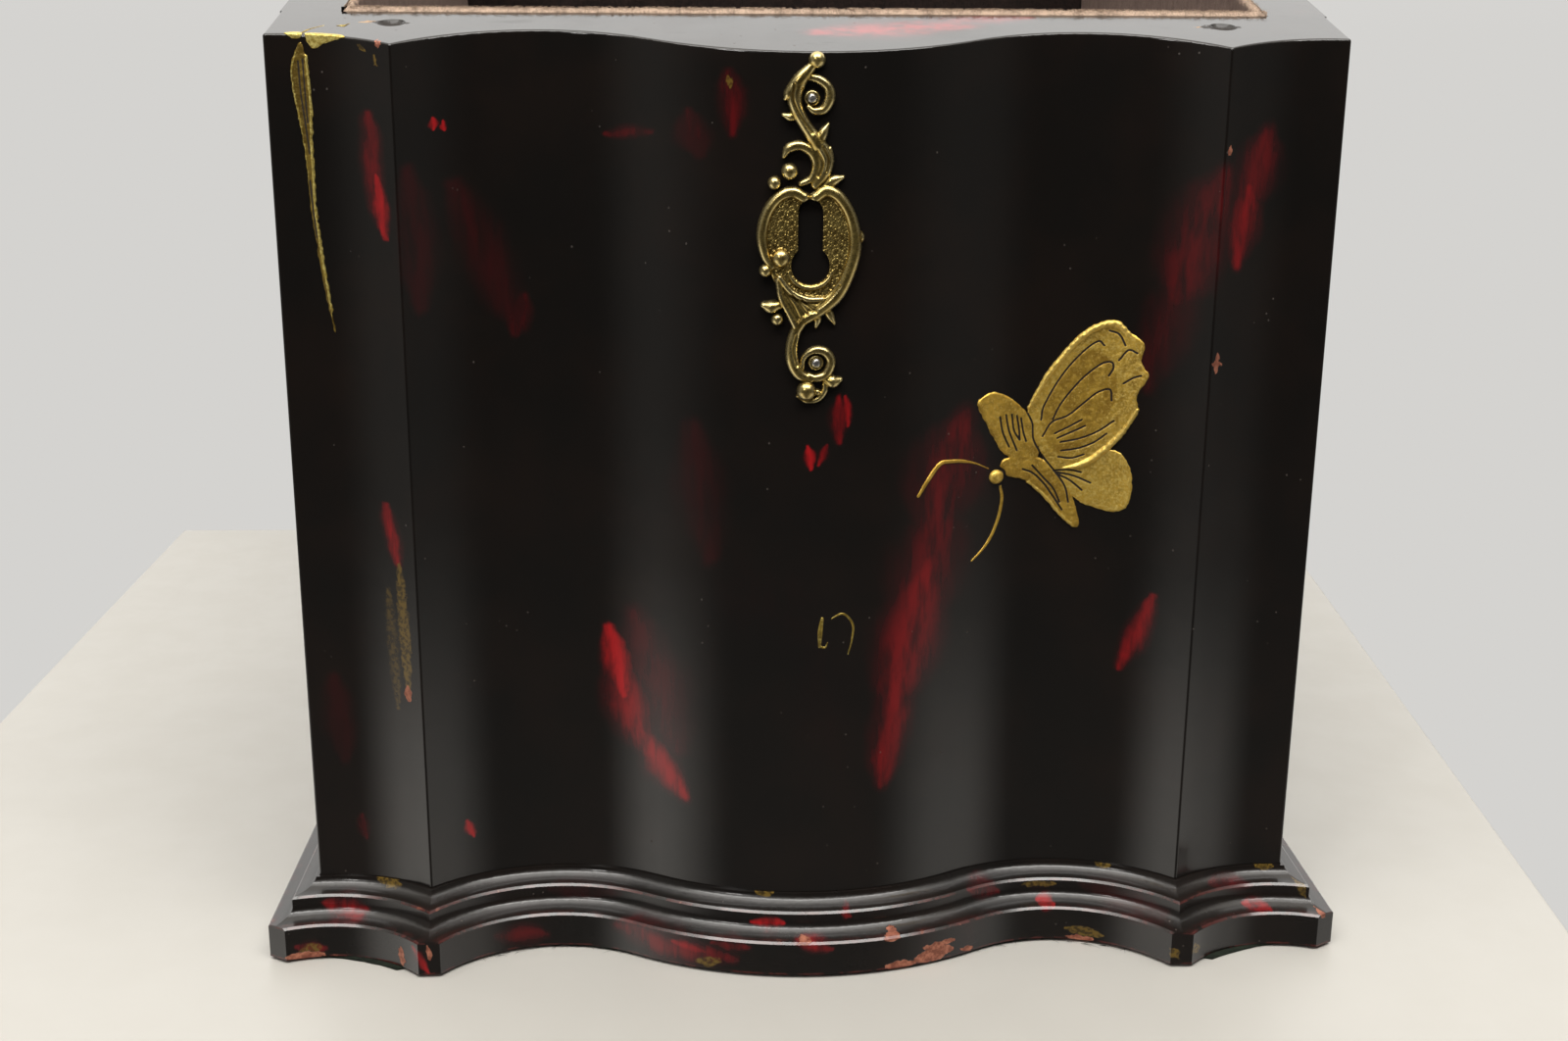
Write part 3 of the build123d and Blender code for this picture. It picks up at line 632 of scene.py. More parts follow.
# Near-black felt for the back and floor linings: painted shade for the unlit depths of the well,
# darker than the felt's own colour.
deep_felt = wool("deep_felt", (0.030, 0.019, 0.016), (0.012, 0.008, 0.007), (0.10, 0.07, 0.06),
                 lit_edge_tan)
lid_felt = wool("lid_felt", (0.20, 0.135, 0.11), (0.08, 0.05, 0.04), (0.5, 0.38, 0.32))
# Loose rim fibres in the pale lit tan of the felt's top edge: painted highlight, paler than the
# felt they come from.
loose_wool = wool("loose_wool", (0.62, 0.47, 0.35), (0.30, 0.20, 0.14), (0.8, 0.65, 0.5))
base_wool = wool("base_wool", (0.020, 0.028, 0.018), (0.006, 0.008, 0.006), (0.1, 0.12, 0.1))
softwood = bare_wood("softwood")

cad_materials = {
    front_lacquer: ("front_panel",),
    side_lacquer: ("left_side_panel", "right_side_panel"),
    back_lacquer: ("back_panel",),
    softwood: ("bottom_board", "carcass_dowels", "lid_dowels"),
    plinth_front_lacquer: ("plinth_front",),
    plinth_lacquer: ("plinth_left", "plinth_right", "plinth_back"),
    base_wool: ("base_felt",),
    lid_lacquer: ("lid_top_board",),
    rail_lacquer: ("lid_front_rail", "lid_left_rail", "lid_right_rail", "lid_back_rail"),
    stud_brass: ("lid_buffer_studs",),
    pin_steel: ("hinge_left_pin", "hinge_right_pin"),
    screw_steel: ("hinge_screws_body", "hinge_screws_lid"),
}
material_of = {node: material for material, nodes in cad_materials.items() for node in nodes}
for node_name, node in frame["nodes"].items():
    node.data.materials.clear()
    node.data.materials.append(material_of.get(node_name, hinge_brass))


# ---------------------------------------------------------------- meshes
def add_piece(name, vertices, faces, material, body):
    mesh = bpy.data.meshes.new(name)
    mesh.from_pydata(vertices, [], faces)
    mesh.validate()
    mesh.shade_smooth()
    mesh.materials.append(material)
    piece = bpy.data.objects.new(name, mesh)
    bpy.context.scene.collection.objects.link(piece)
    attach(piece, body)
    return piece


def turned(centre, radius, angles):
    """Points round a centre."""
    return [(centre[0] + radius * math.cos(t), centre[1] + radius * math.sin(t)) for t in angles]


def smooth_line(points, closed=False, per=8):
    """A Catmull-Rom line through the points; every column is carried along."""
    p = np.array(points, float)
    n = len(p)
    if closed:
        ends = [(p[(i - 1) % n], p[i], p[(i + 1) % n], p[(i + 2) % n]) for i in range(n)]
    else:
        ext = np.vstack([2 * p[0] - p[1], p, 2 * p[-1] - p[-2]])
        ends = [tuple(ext[i:i + 4]) for i in range(n - 1)]
    line = []
    for a, b, c, d in ends:
        for t in np.arange(per) / per:
            line.append(0.5 * (2 * b + (c - a) * t + (2 * a - 5 * b + 4 * c - d) * t * t
                               + (3 * b - a - 3 * c + d) * t**3))
    if not closed:
        line.append(p[-1])
    return np.array(line)


class Relief:
    """A raised shape on a flat grid, in millimetres.

    inside is the depth within the outline, groove marks dark lines and hollows, and tone marks
    how bright the metal is.
    """

    def __init__(self, low, high, step):
        self.us = np.arange(low[0], high[0] + step, step)
        self.vs = np.arange(low[1], high[1] + step, step)
        self.u, self.v = np.meshgrid(self.us, self.vs, indexing="ij")
        self.inside = np.full(self.u.shape, -9.0)
        self.height = np.zeros(self.u.shape)
        self.groove = np.zeros(self.u.shape)
        self.tone = np.full(self.u.shape, 0.5)

    def window(self, line, margin):
        i0, i1 = np.searchsorted(self.us, (line[:, 0].min() - margin, line[:, 0].max() + margin))
        j0, j1 = np.searchsorted(self.vs, (line[:, 1].min() - margin, line[:, 1].max() + margin))
        return slice(i0, i1), slice(j0, j1)

    def nearest(self, line, part, values=None):
        """Distance to a line, and the value carried by its nearest place."""
        u, v = self.u[part], self.v[part]
        best = np.full(u.shape, 1e9)
        carried = np.zeros(u.shape)
        for k in range(len(line) - 1):
            a, b = line[k, :2], line[k + 1, :2]
            run = b - a
            t = ((u - a[0]) * run[0] + (v - a[1]) * run[1]) / (run @ run + 1e-12)
            t = np.clip(t, 0, 1)
            d = np.hypot(u - a[0] - t * run[0], v - a[1] - t * run[1])
            closer = d < best
            best[closer] = d[closer]
            if values is not None:
                carried[closer] = (values[k] + t * (values[k + 1] - values[k]))[closer]
        return best, carried

    def merge(self, part, depth, height, tone):
        over = (depth > 0) & (height >= self.height[part])
        self.inside[part] = np.maximum(self.inside[part], depth)
        self.tone[part] = np.where(over, tone, self.tone[part])
        self.height[part] = np.where(over, height, self.height[part])

    def rib(self, points, radii, rise=1.0, base=0.0, tone=0.5):
        """A round-topped rib of varying radius along a smooth line."""
        line = smooth_line(np.column_stack([points, radii]))
        part = self.window(line, max(radii) + 1.0)
        d, r = self.nearest(line, part, line[:, 2])
        self.merge(part, r - d, base + rise * np.sqrt(np.maximum(r * r - d * d, 0)), tone)

    def bead(self, centre, radius, rise=1.0, base=0.0, tone=0.5):
        part = self.window(np.array([centre], float), radius + 1.0)
        d = np.hypot(self.u[part] - centre[0], self.v[part] - centre[1])
        self.merge(part, radius - d, base + rise * np.sqrt(np.maximum(radius**2 - d * d, 0)), tone)

    def outline_depth(self, line, part):
        closed = np.vstack([line, line[:1]])
        d, _ = self.nearest(closed, part)
        u, v = self.u[part], self.v[part]
        within = np.zeros(u.shape, bool)
        for (x0, y0), (x1, y1) in zip(closed[:-1], closed[1:]):
            crosses = (y0 > v) != (y1 > v)
            within ^= crosses & (u < (x1 - x0) * (v - y0) / (y1 - y0 + 1e-12) + x0)
        return np.where(within, d, -d)

    def plate(self, points, height, roll, tone=0.5):
        """A flat-topped patch whose edge rolls over within roll of the outline."""
        line = smooth_line(points, closed=True)
        part = self.window(line, 1.5)
        depth = self.outline_depth(line, part)
        edge = 1 - np.clip(depth / roll, 0, 1)
        self.merge(part, depth, height * np.sqrt(np.maximum(1 - edge**2, 0)), tone)

    def cut(self, line):
        """An opening with this outline, right through."""
        line = np.array(line, float)
        part = self.window(line, 2.0)
        depth = self.outline_depth(line, part)
        self.inside[part] = np.minimum(self.inside[part], -depth)

    def incise(self, points, width, depth=0.5):
        """A groove along a line: depth is the share of the height that it takes away."""
        line = smooth_line(points)
        part = self.window(line, 4 * width)
        d, _ = self.nearest(line, part)
        mark = np.exp(-((d / width) ** 2))
        self.height[part] *= 1 - depth * mark
        self.groove[part] = np.maximum(self.groove[part], mark)

    def roughen(self, scale, ragged, uneven, seed):
        """Ragged outline and uneven thickness from one soft noise."""
        rough = np.array([[noise.noise(Vector((u * scale, v * scale, seed))) for v in self.vs]
                          for u in self.us])
        self.inside += ragged * rough
        self.height *= 1 + uneven * rough

    def blurred(self, rounds):
        h = self.height
        for _ in range(rounds):
            p = np.pad(h, 1, mode="edge")
            h = (p[1:-1, 1:-1] * 4 + p[:-2, 1:-1] + p[2:, 1:-1] + p[1:-1, :-2] + p[1:-1, 2:]) / 8
        return h

    def build(self, name, place, material, body, sink=0.12):
        """Marching squares over the grid, closed with a back that follows the surface."""
        near = 0.06
        top, marks, index = [], [], {}

        def corner(key):
            if key not in index:
                index[key] = len(top)
                top.append((self.us[key[0]], self.vs[key[1]], self.height[key]))
                marks.append((self.groove[key], self.tone[key]))
            return index[key]

        def crossing(a, b):
            key = (a, b) if a < b else (b, a)
            if key not in index:
                one, two = key
                f0, f1 = self.inside[one], self.inside[two]
                t = min(max(f0 / (f0 - f1), near), 1 - near)
                u = (1 - t) * self.us[one[0]] + t * self.us[two[0]]
                v = (1 - t) * self.vs[one[1]] + t * self.vs[two[1]]
                index[key] = len(top)
                top.append((u, v, min(self.height[one], self.height[two])))
                inner = one if f0 > 0 else two
                marks.append((self.groove[inner], self.tone[inner]))
            return index[key]

        solid = self.inside > 0
        count = solid[:-1, :-1].astype(int) + solid[1:, :-1] + solid[:-1, 1:] + solid[1:, 1:]
        faces, walls = [], []
        for i, j in zip(*np.nonzero(count)):
            ring = [(i, j), (i + 1, j), (i + 1, j + 1), (i, j + 1)]
            loop, leaving = [], []
            for a, b in zip(ring, ring[1:] + ring[:1]):
                if solid[a]:
                    loop.append(corner(a))
                if solid[a] != solid[b]:
                    if solid[a]:
                        leaving.append(len(loop))
                    loop.append(crossing(a, b))
            faces.append(loop)
            walls += [(loop[k], loop[(k + 1) % len(loop)]) for k in leaving]
        n = len(top)
        vertices = [place(u * mm, v * mm, h * mm) for u, v, h in top]
        vertices += [place(u * mm, v * mm, -sink * mm) for u, v, _ in top]
        whole = faces + [[k + n for k in reversed(f)] for f in faces]
        whole += [[b, a, a + n, b + n] for a, b in walls]
        piece = add_piece(name, vertices, whole, material, body)
        for column, label in enumerate(("groove", "tone")):
            mark = piece.data.attributes.new(label, "FLOAT", "POINT")
            mark.data.foreach_set("value", np.array([m[column] for m in marks] * 2, np.float32))
        return piece


# ---------------------------------------------------------------- keyhole plate
def keyhole_plate():
    """Cast rococo plate, as a relief about the plate's middle."""
    plate = Relief((-13, -38), (12, 39), 0.17)
    plate.plate([(-3.4, 8.2), (-7.0, 7.6), (-9.8, 3.6), (-10.8, -1.0), (-9.6, -6.8),
                 (-7.4, -11.6), (-2.0, -16.2), (3.0, -14.8), (6.8, -9.0), (8.6, -2.6), (7.8, 2.6),
                 (5.4, 7.0), (2.0, 8.0)], 0.62, 0.5)
    ground = plate.inside > 1.0

    # upper scroll, from the bud at its top down to the cartouche
    plate.bead((0.3, 35.2), 1.75, base=0.4)
    plate.rib([(-0.9, 33.8), (-3.2, 31.2), (-5.4, 28.4), (-6.2, 27.4)], [1.0, 1.5, 1.2, 0.4],
              base=0.5)
    plate.rib([(-2.4, 32.2), (-4.2, 28.6), (-3.8, 25.4), (-1.8, 21.8), (0.6, 18.4), (2.2, 15.6),
               (1.9, 12.6), (0.2, 10.0)], [1.3, 1.6, 1.4, 1.3, 1.6, 1.7, 1.5, 1.0], base=0.4)
    plate.rib([(-1.8, 31.8), (0.5, 31.4), (2.6, 29.8), (3.0, 27.6), (1.8, 25.4), (-0.2, 25.0),
               (-1.4, 25.8)], [0.7, 0.9, 1.0, 1.1, 1.0, 0.8, 0.5], base=0.5)
    plate.rib([(-3.8, 24.0), (-5.2, 23.8), (-6.6, 24.2)], [0.8, 0.9, 0.35], base=0.3)
    plate.rib([(1.0, 19.0), (1.8, 20.8), (2.7, 22.4)], [1.1, 1.0, 0.35], base=0.5)
    plate.rib([(3.2, 17.6), (3.4, 14.8), (2.6, 12.0)], [0.35, 0.6, 0.4], base=0.9)

    # middle scroll with its two berries
    plate.rib([(-6.4, 15.8), (-5.4, 17.4), (-3.0, 18.0), (-0.6, 16.6), (0.3, 14.0), (-0.6, 11.4),
               (-2.8, 10.2)], [0.45, 1.0, 1.1, 1.1, 0.9, 0.8, 0.6], base=0.4)
    plate.bead((-5.2, 12.7), 1.75, base=0.4)
    plate.bead((-8.3, 10.3), 1.4, base=0.2)
    plate.rib([(1.8, 9.6), (3.8, 10.8), (6.0, 11.6)], [0.7, 1.15, 0.35], base=0.3)

    # cartouche frame, its ends rolled over above the keyhole
    plate.rib([(-2.2, 7.4), (-4.6, 8.5), (-7.4, 7.4), (-9.8, 4.2), (-10.9, -0.4), (-10.2, -4.6),
               (-8.8, -7.0)], [1.2, 1.25, 1.15, 1.15, 1.15, 1.0, 0.7], base=0.55)
    plate.rib([(0.2, 7.4), (2.6, 8.8), (5.4, 7.2), (7.8, 3.0), (8.7, -2.6), (7.5, -7.8),
               (5.2, -12.6), (2.0, -15.6), (-1.6, -18.0)], [1.2, 1.25, 1.2, 1.2, 1.35, 1.4, 1.5,
                                                            1.5, 1.2], base=0.55)
    plate.rib([(9.2, 0.4), (9.8, -0.8), (9.4, -2.2)], [0.5, 0.85, 0.5], base=0.3)
    plate.bead((-6.9, -5.2), 1.95, base=0.6)
    plate.bead((-10.1, -7.9), 1.35, base=0.2)

    # acanthus leaf under the keyhole, and its tips
    plate.plate([(-7.4, -9.2), (-5.2, -12.2), (-1.6, -14.0), (2.4, -14.4), (0.6, -17.0),
                 (-2.4, -19.6), (-4.8, -17.4), (-7.0, -13.6)], 1.35, 1.4)
    plate.rib([(-7.2, -9.2), (-4.8, -12.2), (-1.4, -13.8), (2.0, -13.8)], [0.6, 0.65, 0.65, 0.5],
              base=1.15)
    plate.rib([(-7.4, -9.6), (-6.8, -13.4), (-5.2, -16.6), (-3.6, -19.6)], [0.7, 0.75, 0.8, 0.9],
              base=0.8)
    plate.rib([(-7.2, -15.2), (-9.0, -15.6), (-10.6, -15.2)], [0.9, 1.35, 0.6], base=0.3)
    plate.bead((-7.6, -18.2), 1.3, base=0.3)
    plate.rib([(0.4, -16.8), (0.9, -18.2), (0.6, -19.8)], [0.9, 0.9, 0.35], base=0.4)
    plate.rib([(2.6, -15.6), (3.6, -17.4), (4.5, -19.0)], [0.9, 0.9, 0.35], base=0.4)

    # tail scroll
    plate.rib([(-1.8, -17.8), (-3.6, -20.6), (-4.5, -24.0), (-4.3, -27.4), (-2.8, -30.0),
               (-0.4, -31.0)], [1.2, 1.2, 1.3, 1.3, 1.25, 0.9], base=0.4)
    plate.rib([(-2.2, -29.0), (-1.9, -26.4), (0.2, -24.8), (2.6, -25.2), (3.9, -27.2),
               (3.0, -29.8), (0.8, -30.8), (-0.8, -30.2)], [0.4, 0.6, 0.85, 1.0, 1.0, 1.0, 0.9,
                                                            0.6], base=0.5)
    plate.rib([(2.6, -30.8), (4.4, -31.6), (6.0, -31.2)], [0.8, 1.4, 0.5], base=0.3)
    plate.bead((-1.3, -33.6), 2.1, base=0.4)
    plate.rib([(2.6, -31.6), (2.6, -33.6), (1.2, -35.4), (-1.2, -35.9), (-3.2, -34.8)],
              [0.5, 0.7, 0.65, 0.5, 0.35], base=0.3)
    plate.bead((1.0, -33.9), 0.75, base=0.4)

    # the eyes of both ring scrolls carry the pins
    for pin in pin_places:
        plate.plate(turned(pin, 1.7, np.linspace(0, 5.5, 8)), 0.7, 0.3)

    # keyhole: a slot that opens into a round at its foot, with a bright bevelled lip
    foot = turned(keyhole, 4.1, np.linspace(math.radians(130), math.radians(410), 26))
    arch = turned((keyhole[0], 4.4), 2.65, np.linspace(0, math.pi, 9))
    lip = turned(keyhole, 4.75, np.linspace(math.radians(-165), math.radians(-15), 9))
    plate.rib(lip, [0.3, 0.5, 0.6, 0.6, 0.6, 0.6, 0.6, 0.5, 0.3], base=0.5)
    plate.cut(foot + arch)

    # chased lines along the scrolls
    for line in (
        [(-4.4, 30.4), (-4.6, 27.4), (-3.0, 24.0), (-0.6, 20.6)],
        [(-2.6, 29.6), (-2.6, 26.4), (-0.8, 22.6)],
        [(0.4, 17.0), (1.6, 14.4), (0.8, 11.8)],
        [(1.6, 17.8), (2.8, 15.4), (2.4, 12.8)],
        [(-6.2, -12.6), (-4.4, -15.0), (-3.0, -17.8)],
        [(-4.4, -13.0), (-2.8, -15.0), (-1.4, -16.8)],
        [(-2.4, -14.0), (-0.8, -15.4), (0.6, -16.4)],
        [(-3.6, -21.6), (-4.2, -24.6), (-3.4, -28.0)],
        [(5.4, -10.8), (2.6, -14.0), (-0.4, -16.4)],
    ):
        plate.incise(line, 0.24, 0.25)
    plate.height = plate.blurred(1)
    hollow = np.clip((plate.blurred(26) - plate.height) / 0.34, 0, 1)
    proud = np.clip((plate.height - plate.blurred(14)) / 0.16, 0, 1)
    pebbles = np.sin(plate.u * 6.3 + 1.9 * np.sin(plate.v * 3.1))
    pebbles *= np.sin(plate.v * 5.9 + 1.7 * np.sin(plate.u * 2.7))
    low = ground & (plate.height < 0.75)
    plate.height += np.where(low, 0.16 * pebbles, 0)
    plate.groove = np.maximum(plate.groove * 0.5, np.where(low, 0.30 - 0.5 * pebbles, hollow))
    plate.tone = np.where(low, 0.2 + 0.3 * pebbles, proud)

    def on_plate(u, v, height):
        """The metal's face stands out from the plate's bed; its back follows the wood."""
        y = plate_front_y - height if height > 0 else plan_y(u) - 0.1 * mm
        return Vector((u, y, plate_middle_z + v))

    piece = plate.build("keyhole_plate", on_plate, plate_brass, "box")
    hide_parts("escutcheon")


pins_low, pins_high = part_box("escutcheon_pins")
plate_middle_z = (pins_low.z + pins_high.z) / 2
pin_places = ((-0.7, 27.6), (0.7, -27.5))
keyhole = (-0.7, -6.8)
keyhole_plate()


def plate_pins():
    """Two domed pin heads, each turned about its own axis with a slightly dented crown."""
    rings = ((1.0, -0.2), (1.0, 0.25), (0.92, 0.5), (0.66, 0.72), (0.34, 0.82))
    around = 20
    seat, crown = 0.75, 0.8
    vertices, faces = [], []
    for u, v in pin_places:
        start = len(vertices)
        for radius, rise in rings:
            for k in range(around):
                t = 2 * math.pi * k / around
                dent = 0.05 * math.sin(3 * t + v)
                x = u + (radius + dent) * math.cos(t)
                z = v + (radius + dent) * math.sin(t)
                y = plate_front_y - (seat + rise) * mm
                vertices.append(Vector((x * mm, y, plate_middle_z + z * mm)))
        tip_y = plate_front_y - (seat + crown) * mm
        vertices.append(Vector((u * mm, tip_y, plate_middle_z + v * mm)))
        for ring in range(len(rings) - 1):
            for k in range(around):
                a, b = start + ring * around + k, start + ring * around + (k + 1) % around
                faces.append([a, b, b + around, a + around])
        last = start + (len(rings) - 1) * around
        faces += [[last + k, last + (k + 1) % around, len(vertices) - 1] for k in range(around)]
        faces.append([start + k for k in reversed(range(around))])
    piece = add_piece("plate_pins", vertices, faces, pin_steel, "box")
    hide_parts("escutcheon_pins")


plate_pins()


# ---------------------------------------------------------------- gilding on the front
def butterfly():
    """A side-on butterfly laid in thick leaf on the right flank."""
    fly = Relief((21, 90), (77, 150), 0.19)
    fly.plate([(61.5, 106.0), (65.5, 104.4), (69.0, 103.6), (72.0, 104.6), (73.2, 108.4),
               (72.8, 113.4), (70.4, 117.4), (66.8, 118.0), (61.0, 116.0), (56.0, 112.6)], 0.26,
              0.5, tone=0.75)
    fly.plate([(49.2, 127.6), (53.4, 134.8), (56.6, 139.4), (60.4, 143.6), (64.0, 146.2),
               (68.2, 147.3), (71.2, 144.9), (74.0, 142.6), (73.7, 138.4), (75.4, 135.2),
               (73.2, 131.0), (73.5, 126.6), (70.4, 121.6), (65.6, 116.4), (61.6, 113.7),
               (57.4, 112.6), (53.8, 115.0), (51.2, 120.6)], 0.32, 0.5, tone=0.66)
    fly.plate([(51.6, 126.8), (55.2, 133.4), (59.0, 138.6), (62.6, 141.4), (66.6, 140.0),
               (69.4, 134.2), (68.4, 127.4), (63.6, 120.4), (58.6, 116.6), (54.6, 117.8),
               (52.4, 122.2)], 0.33, 0.7, tone=0.38)
    fly.plate([(37.2, 129.2), (38.6, 131.0), (40.8, 131.8), (44.2, 130.6), (47.2, 128.4),
               (49.6, 125.6), (51.4, 120.8), (52.0, 116.4), (47.6, 115.6), (43.8, 117.6),
               (41.6, 120.8), (39.4, 124.8)], 0.36, 0.5, tone=0.48)
    fly.plate([(43.4, 115.6), (48.4, 117.0), (53.4, 115.4), (57.0, 111.8), (60.0, 107.4),
               (61.4, 103.6), (62.2, 100.4), (60.8, 99.6), (57.6, 102.6), (53.6, 107.2),
               (49.4, 110.8), (44.4, 112.4)], 0.42, 0.7, tone=0.4)
    fly.rib([(49.4, 127.8), (53.2, 134.6), (56.6, 139.2), (60.4, 143.4), (64.0, 145.9),
             (68.0, 146.8), (70.8, 144.6)], [0.35, 0.6, 0.65, 0.7, 0.75, 0.7, 0.4], base=0.12,
            tone=1.0)
    fly.rib([(73.4, 127.6), (70.4, 122.0), (65.8, 117.0), (61.8, 114.4), (57.8, 113.4)],
            [0.35, 0.6, 0.75, 0.7, 0.4], base=0.12, tone=1.0)
    fly.rib([(49.8, 110.6), (53.8, 107.2), (57.6, 102.8), (60.8, 100.0)], [0.3, 0.4, 0.4, 0.3],
            base=0.2, tone=0.95)
    fly.roughen(1.1, 0.22, 0.25, 4.0)
    veins = (
        [(52.3, 124.8), (52.9, 128.2), (56.6, 134.9), (61.0, 140.2), (64.3, 142.7), (65.7, 141.8)],
        [(55.0, 124.9), (56.9, 128.8), (61.2, 134.2), (65.2, 137.6), (67.4, 138.1), (67.9, 136.8),
         (67.0, 135.0)],
        [(52.8, 121.0), (54.8, 124.2), (58.3, 125.7), (61.2, 128.1), (64.7, 131.1), (67.4, 131.9),
         (67.9, 129.4)],
        [(55.6, 121.6), (58.6, 123.1), (61.6, 124.8)],
        [(56.2, 120.5), (59.3, 121.9), (62.4, 123.4)],
        [(57.0, 119.6), (61.0, 120.4), (65.0, 122.1), (68.6, 124.8)],
        [(57.2, 117.6), (61.0, 118.2), (64.4, 119.6), (67.2, 121.8)],
        [(56.6, 116.2), (59.6, 115.9), (62.4, 116.8)],
        [(70.2, 133.4), (72.2, 134.8), (73.8, 135.4)],
        [(69.0, 138.6), (70.9, 141.0), (72.8, 140.4)],
        [(66.6, 145.2), (68.8, 144.4), (70.2, 142.0)],
        [(42.6, 126.0), (43.4, 122.4), (45.0, 119.0)],
        [(44.0, 126.4), (44.9, 122.6), (46.9, 118.0)],
        [(45.4, 126.4), (46.0, 122.8), (47.3, 120.6)],
        [(46.6, 126.0), (47.2, 123.0), (47.5, 120.4)],
        [(47.6, 125.4), (48.2, 122.4), (49.0, 120.0)],
        [(48.8, 127.0), (50.3, 124.0), (50.7, 120.4), (52.9, 116.6), (55.8, 113.0), (58.4, 109.4),
         (59.4, 105.6)],
        [(56.0, 113.0), (59.0, 113.2), (62.0, 112.6)],
        [(56.2, 112.6), (60.2, 111.8), (64.2, 110.2)],
        [(56.4, 112.2), (59.4, 110.8), (62.4, 108.4)],
        [(48.4, 113.6), (50.8, 112.6), (53.4, 110.2), (55.8, 107.0), (58.0, 103.8)],
        [(50.6, 114.4), (53.2, 111.6), (55.8, 108.8), (57.4, 105.6)],
    )
    for line in veins:
        fly.incise(line, 0.2, 0.55)
    eye = (42.3, 112.2)
    fly.incise(turned(eye, 2.05, np.linspace(0, 6.1, 12)), 0.3, 0.8)
    fly.bead(eye, 1.65, rise=0.65, base=0.1, tone=0.75)
    fly.rib([(40.4, 114.3), (37.4, 115.8), (34.2, 116.8), (31.0, 117.2), (28.7, 116.9),
             (26.2, 113.8), (23.9, 110.1)], [0.14, 0.2, 0.38, 0.44, 0.5, 0.48, 0.36], rise=0.6,
            tone=0.35)
    fly.rib([(43.4, 109.9), (43.9, 107.0), (43.3, 102.9), (41.7, 98.5), (39.6, 95.4),
             (37.1, 93.1)], [0.3, 0.38, 0.4, 0.38, 0.32, 0.2], rise=0.6, tone=0.4)
    fly.build("gilt_butterfly", on_front, butterfly_gilt, "box", sink=0.1)


def long_leaf():
    """A slender gilt blade down the left cove, and where it turns over the rim edge."""
    blade = Relief((-111, 143), (-99, 209), 0.18)
    blade.plate([(-106.4, 206.4), (-108.2, 203.7), (-109.0, 200.6), (-108.7, 196.0),
                 (-107.9, 191.1), (-107.1, 184.7), (-106.7, 177.6), (-106.5, 171.8),
                 (-105.9, 166.0), (-105.1, 158.7), (-104.1, 152.0), (-102.7, 145.0),
                 (-103.5, 154.3), (-104.1, 160.2), (-104.8, 167.5), (-105.2, 173.3),
                 (-105.1, 179.8), (-105.2, 186.2), (-104.9, 191.8), (-105.0, 197.4),
                 (-105.3, 202.3)], 0.26, 0.4, tone=0.16)
    blade.rib([(-107.6, 204.4), (-108.7, 200.6), (-108.4, 196.0), (-107.6, 191.1),
               (-106.9, 184.7), (-106.4, 177.6)], [0.2, 0.25, 0.25, 0.24, 0.2, 0.15], base=0.1,
              tone=0.7)
    blade.rib([(-105.5, 203.6), (-105.2, 197.4), (-105.1, 191.8), (-105.4, 186.2),
               (-105.4, 179.8), (-105.5, 172.6), (-104.9, 165.0), (-104.1, 157.6),
               (-103.1, 149.0)], [0.3, 0.3, 0.3, 0.3, 0.32, 0.3, 0.3, 0.28, 0.2], base=0.1,
              tone=0.9)
    blade.roughen(0.8, 0.35, 0.3, 9.0)
    for line in (
        [(-107.2, 202.6), (-107.0, 196.0), (-106.4, 189.6), (-105.9, 183.6)],
        [(-106.2, 203.0), (-106.1, 196.0), (-105.9, 190.0)],
        [(-106.2, 178.0), (-105.9, 172.0), (-105.4, 166.0)],
    ):
        blade.incise(line, 0.16, 0.3)
    blade.build("gilt_blade", on_front, leaf_gilt, "box", sink=0.1)
    sprig = Relief((-111, -4), (-92, 12), 0.18)
    sprig.plate([(-110.0, 0.5), (-108.6, -0.7), (-106.4, -0.7), (-106.2, 0.9), (-108.0, 1.5)],
                0.16, 0.4, tone=1.0)
    sprig.plate([(-105.4, 0.8), (-105.4, -0.9), (-104.0, -2.8), (-102.2, -2.2), (-99.8, -1.1),
                 (-97.3, -0.2), (-97.7, 1.1), (-101.5, 1.3)], 0.16, 0.4, tone=0.9)
    sprig.rib([(-106.2, 1.2), (-105.2, 4.2), (-102.8, 7.6)], [0.32, 0.22, 0.12], rise=0.4,
              tone=0.4)
    sprig.rib([(-100.2, 8.0), (-98.6, 8.6), (-97.8, 10.6)], [0.2, 0.42, 0.15], rise=0.4, tone=0.4)
    sprig.roughen(0.8, 0.4, 0.15, 2.0)
    sprig.build("gilt_sprig", over_rim_edge, leaf_gilt, "box", sink=0.1)


def small_marks():
    """A short plain dash of leaf and a fine curl beside it."""
    marks = Relief((0, 72), (12, 86), 0.16)
    marks.rib([(2.7, 83.2), (2.3, 80.0), (2.2, 76.6)], [0.35, 0.55, 0.3], rise=0.5)
    marks.rib([(2.2, 76.8), (3.4, 76.4), (4.0, 77.6)], [0.25, 0.22, 0.12], rise=0.5)
    marks.rib([(4.8, 83.2), (7.4, 84.2), (9.6, 81.6), (9.4, 77.8), (8.6, 74.6)],
              [0.14, 0.24, 0.26, 0.2, 0.1], rise=0.5)
    marks.build("gilt_dash", on_front, leaf_gilt, "box", sink=0.1)


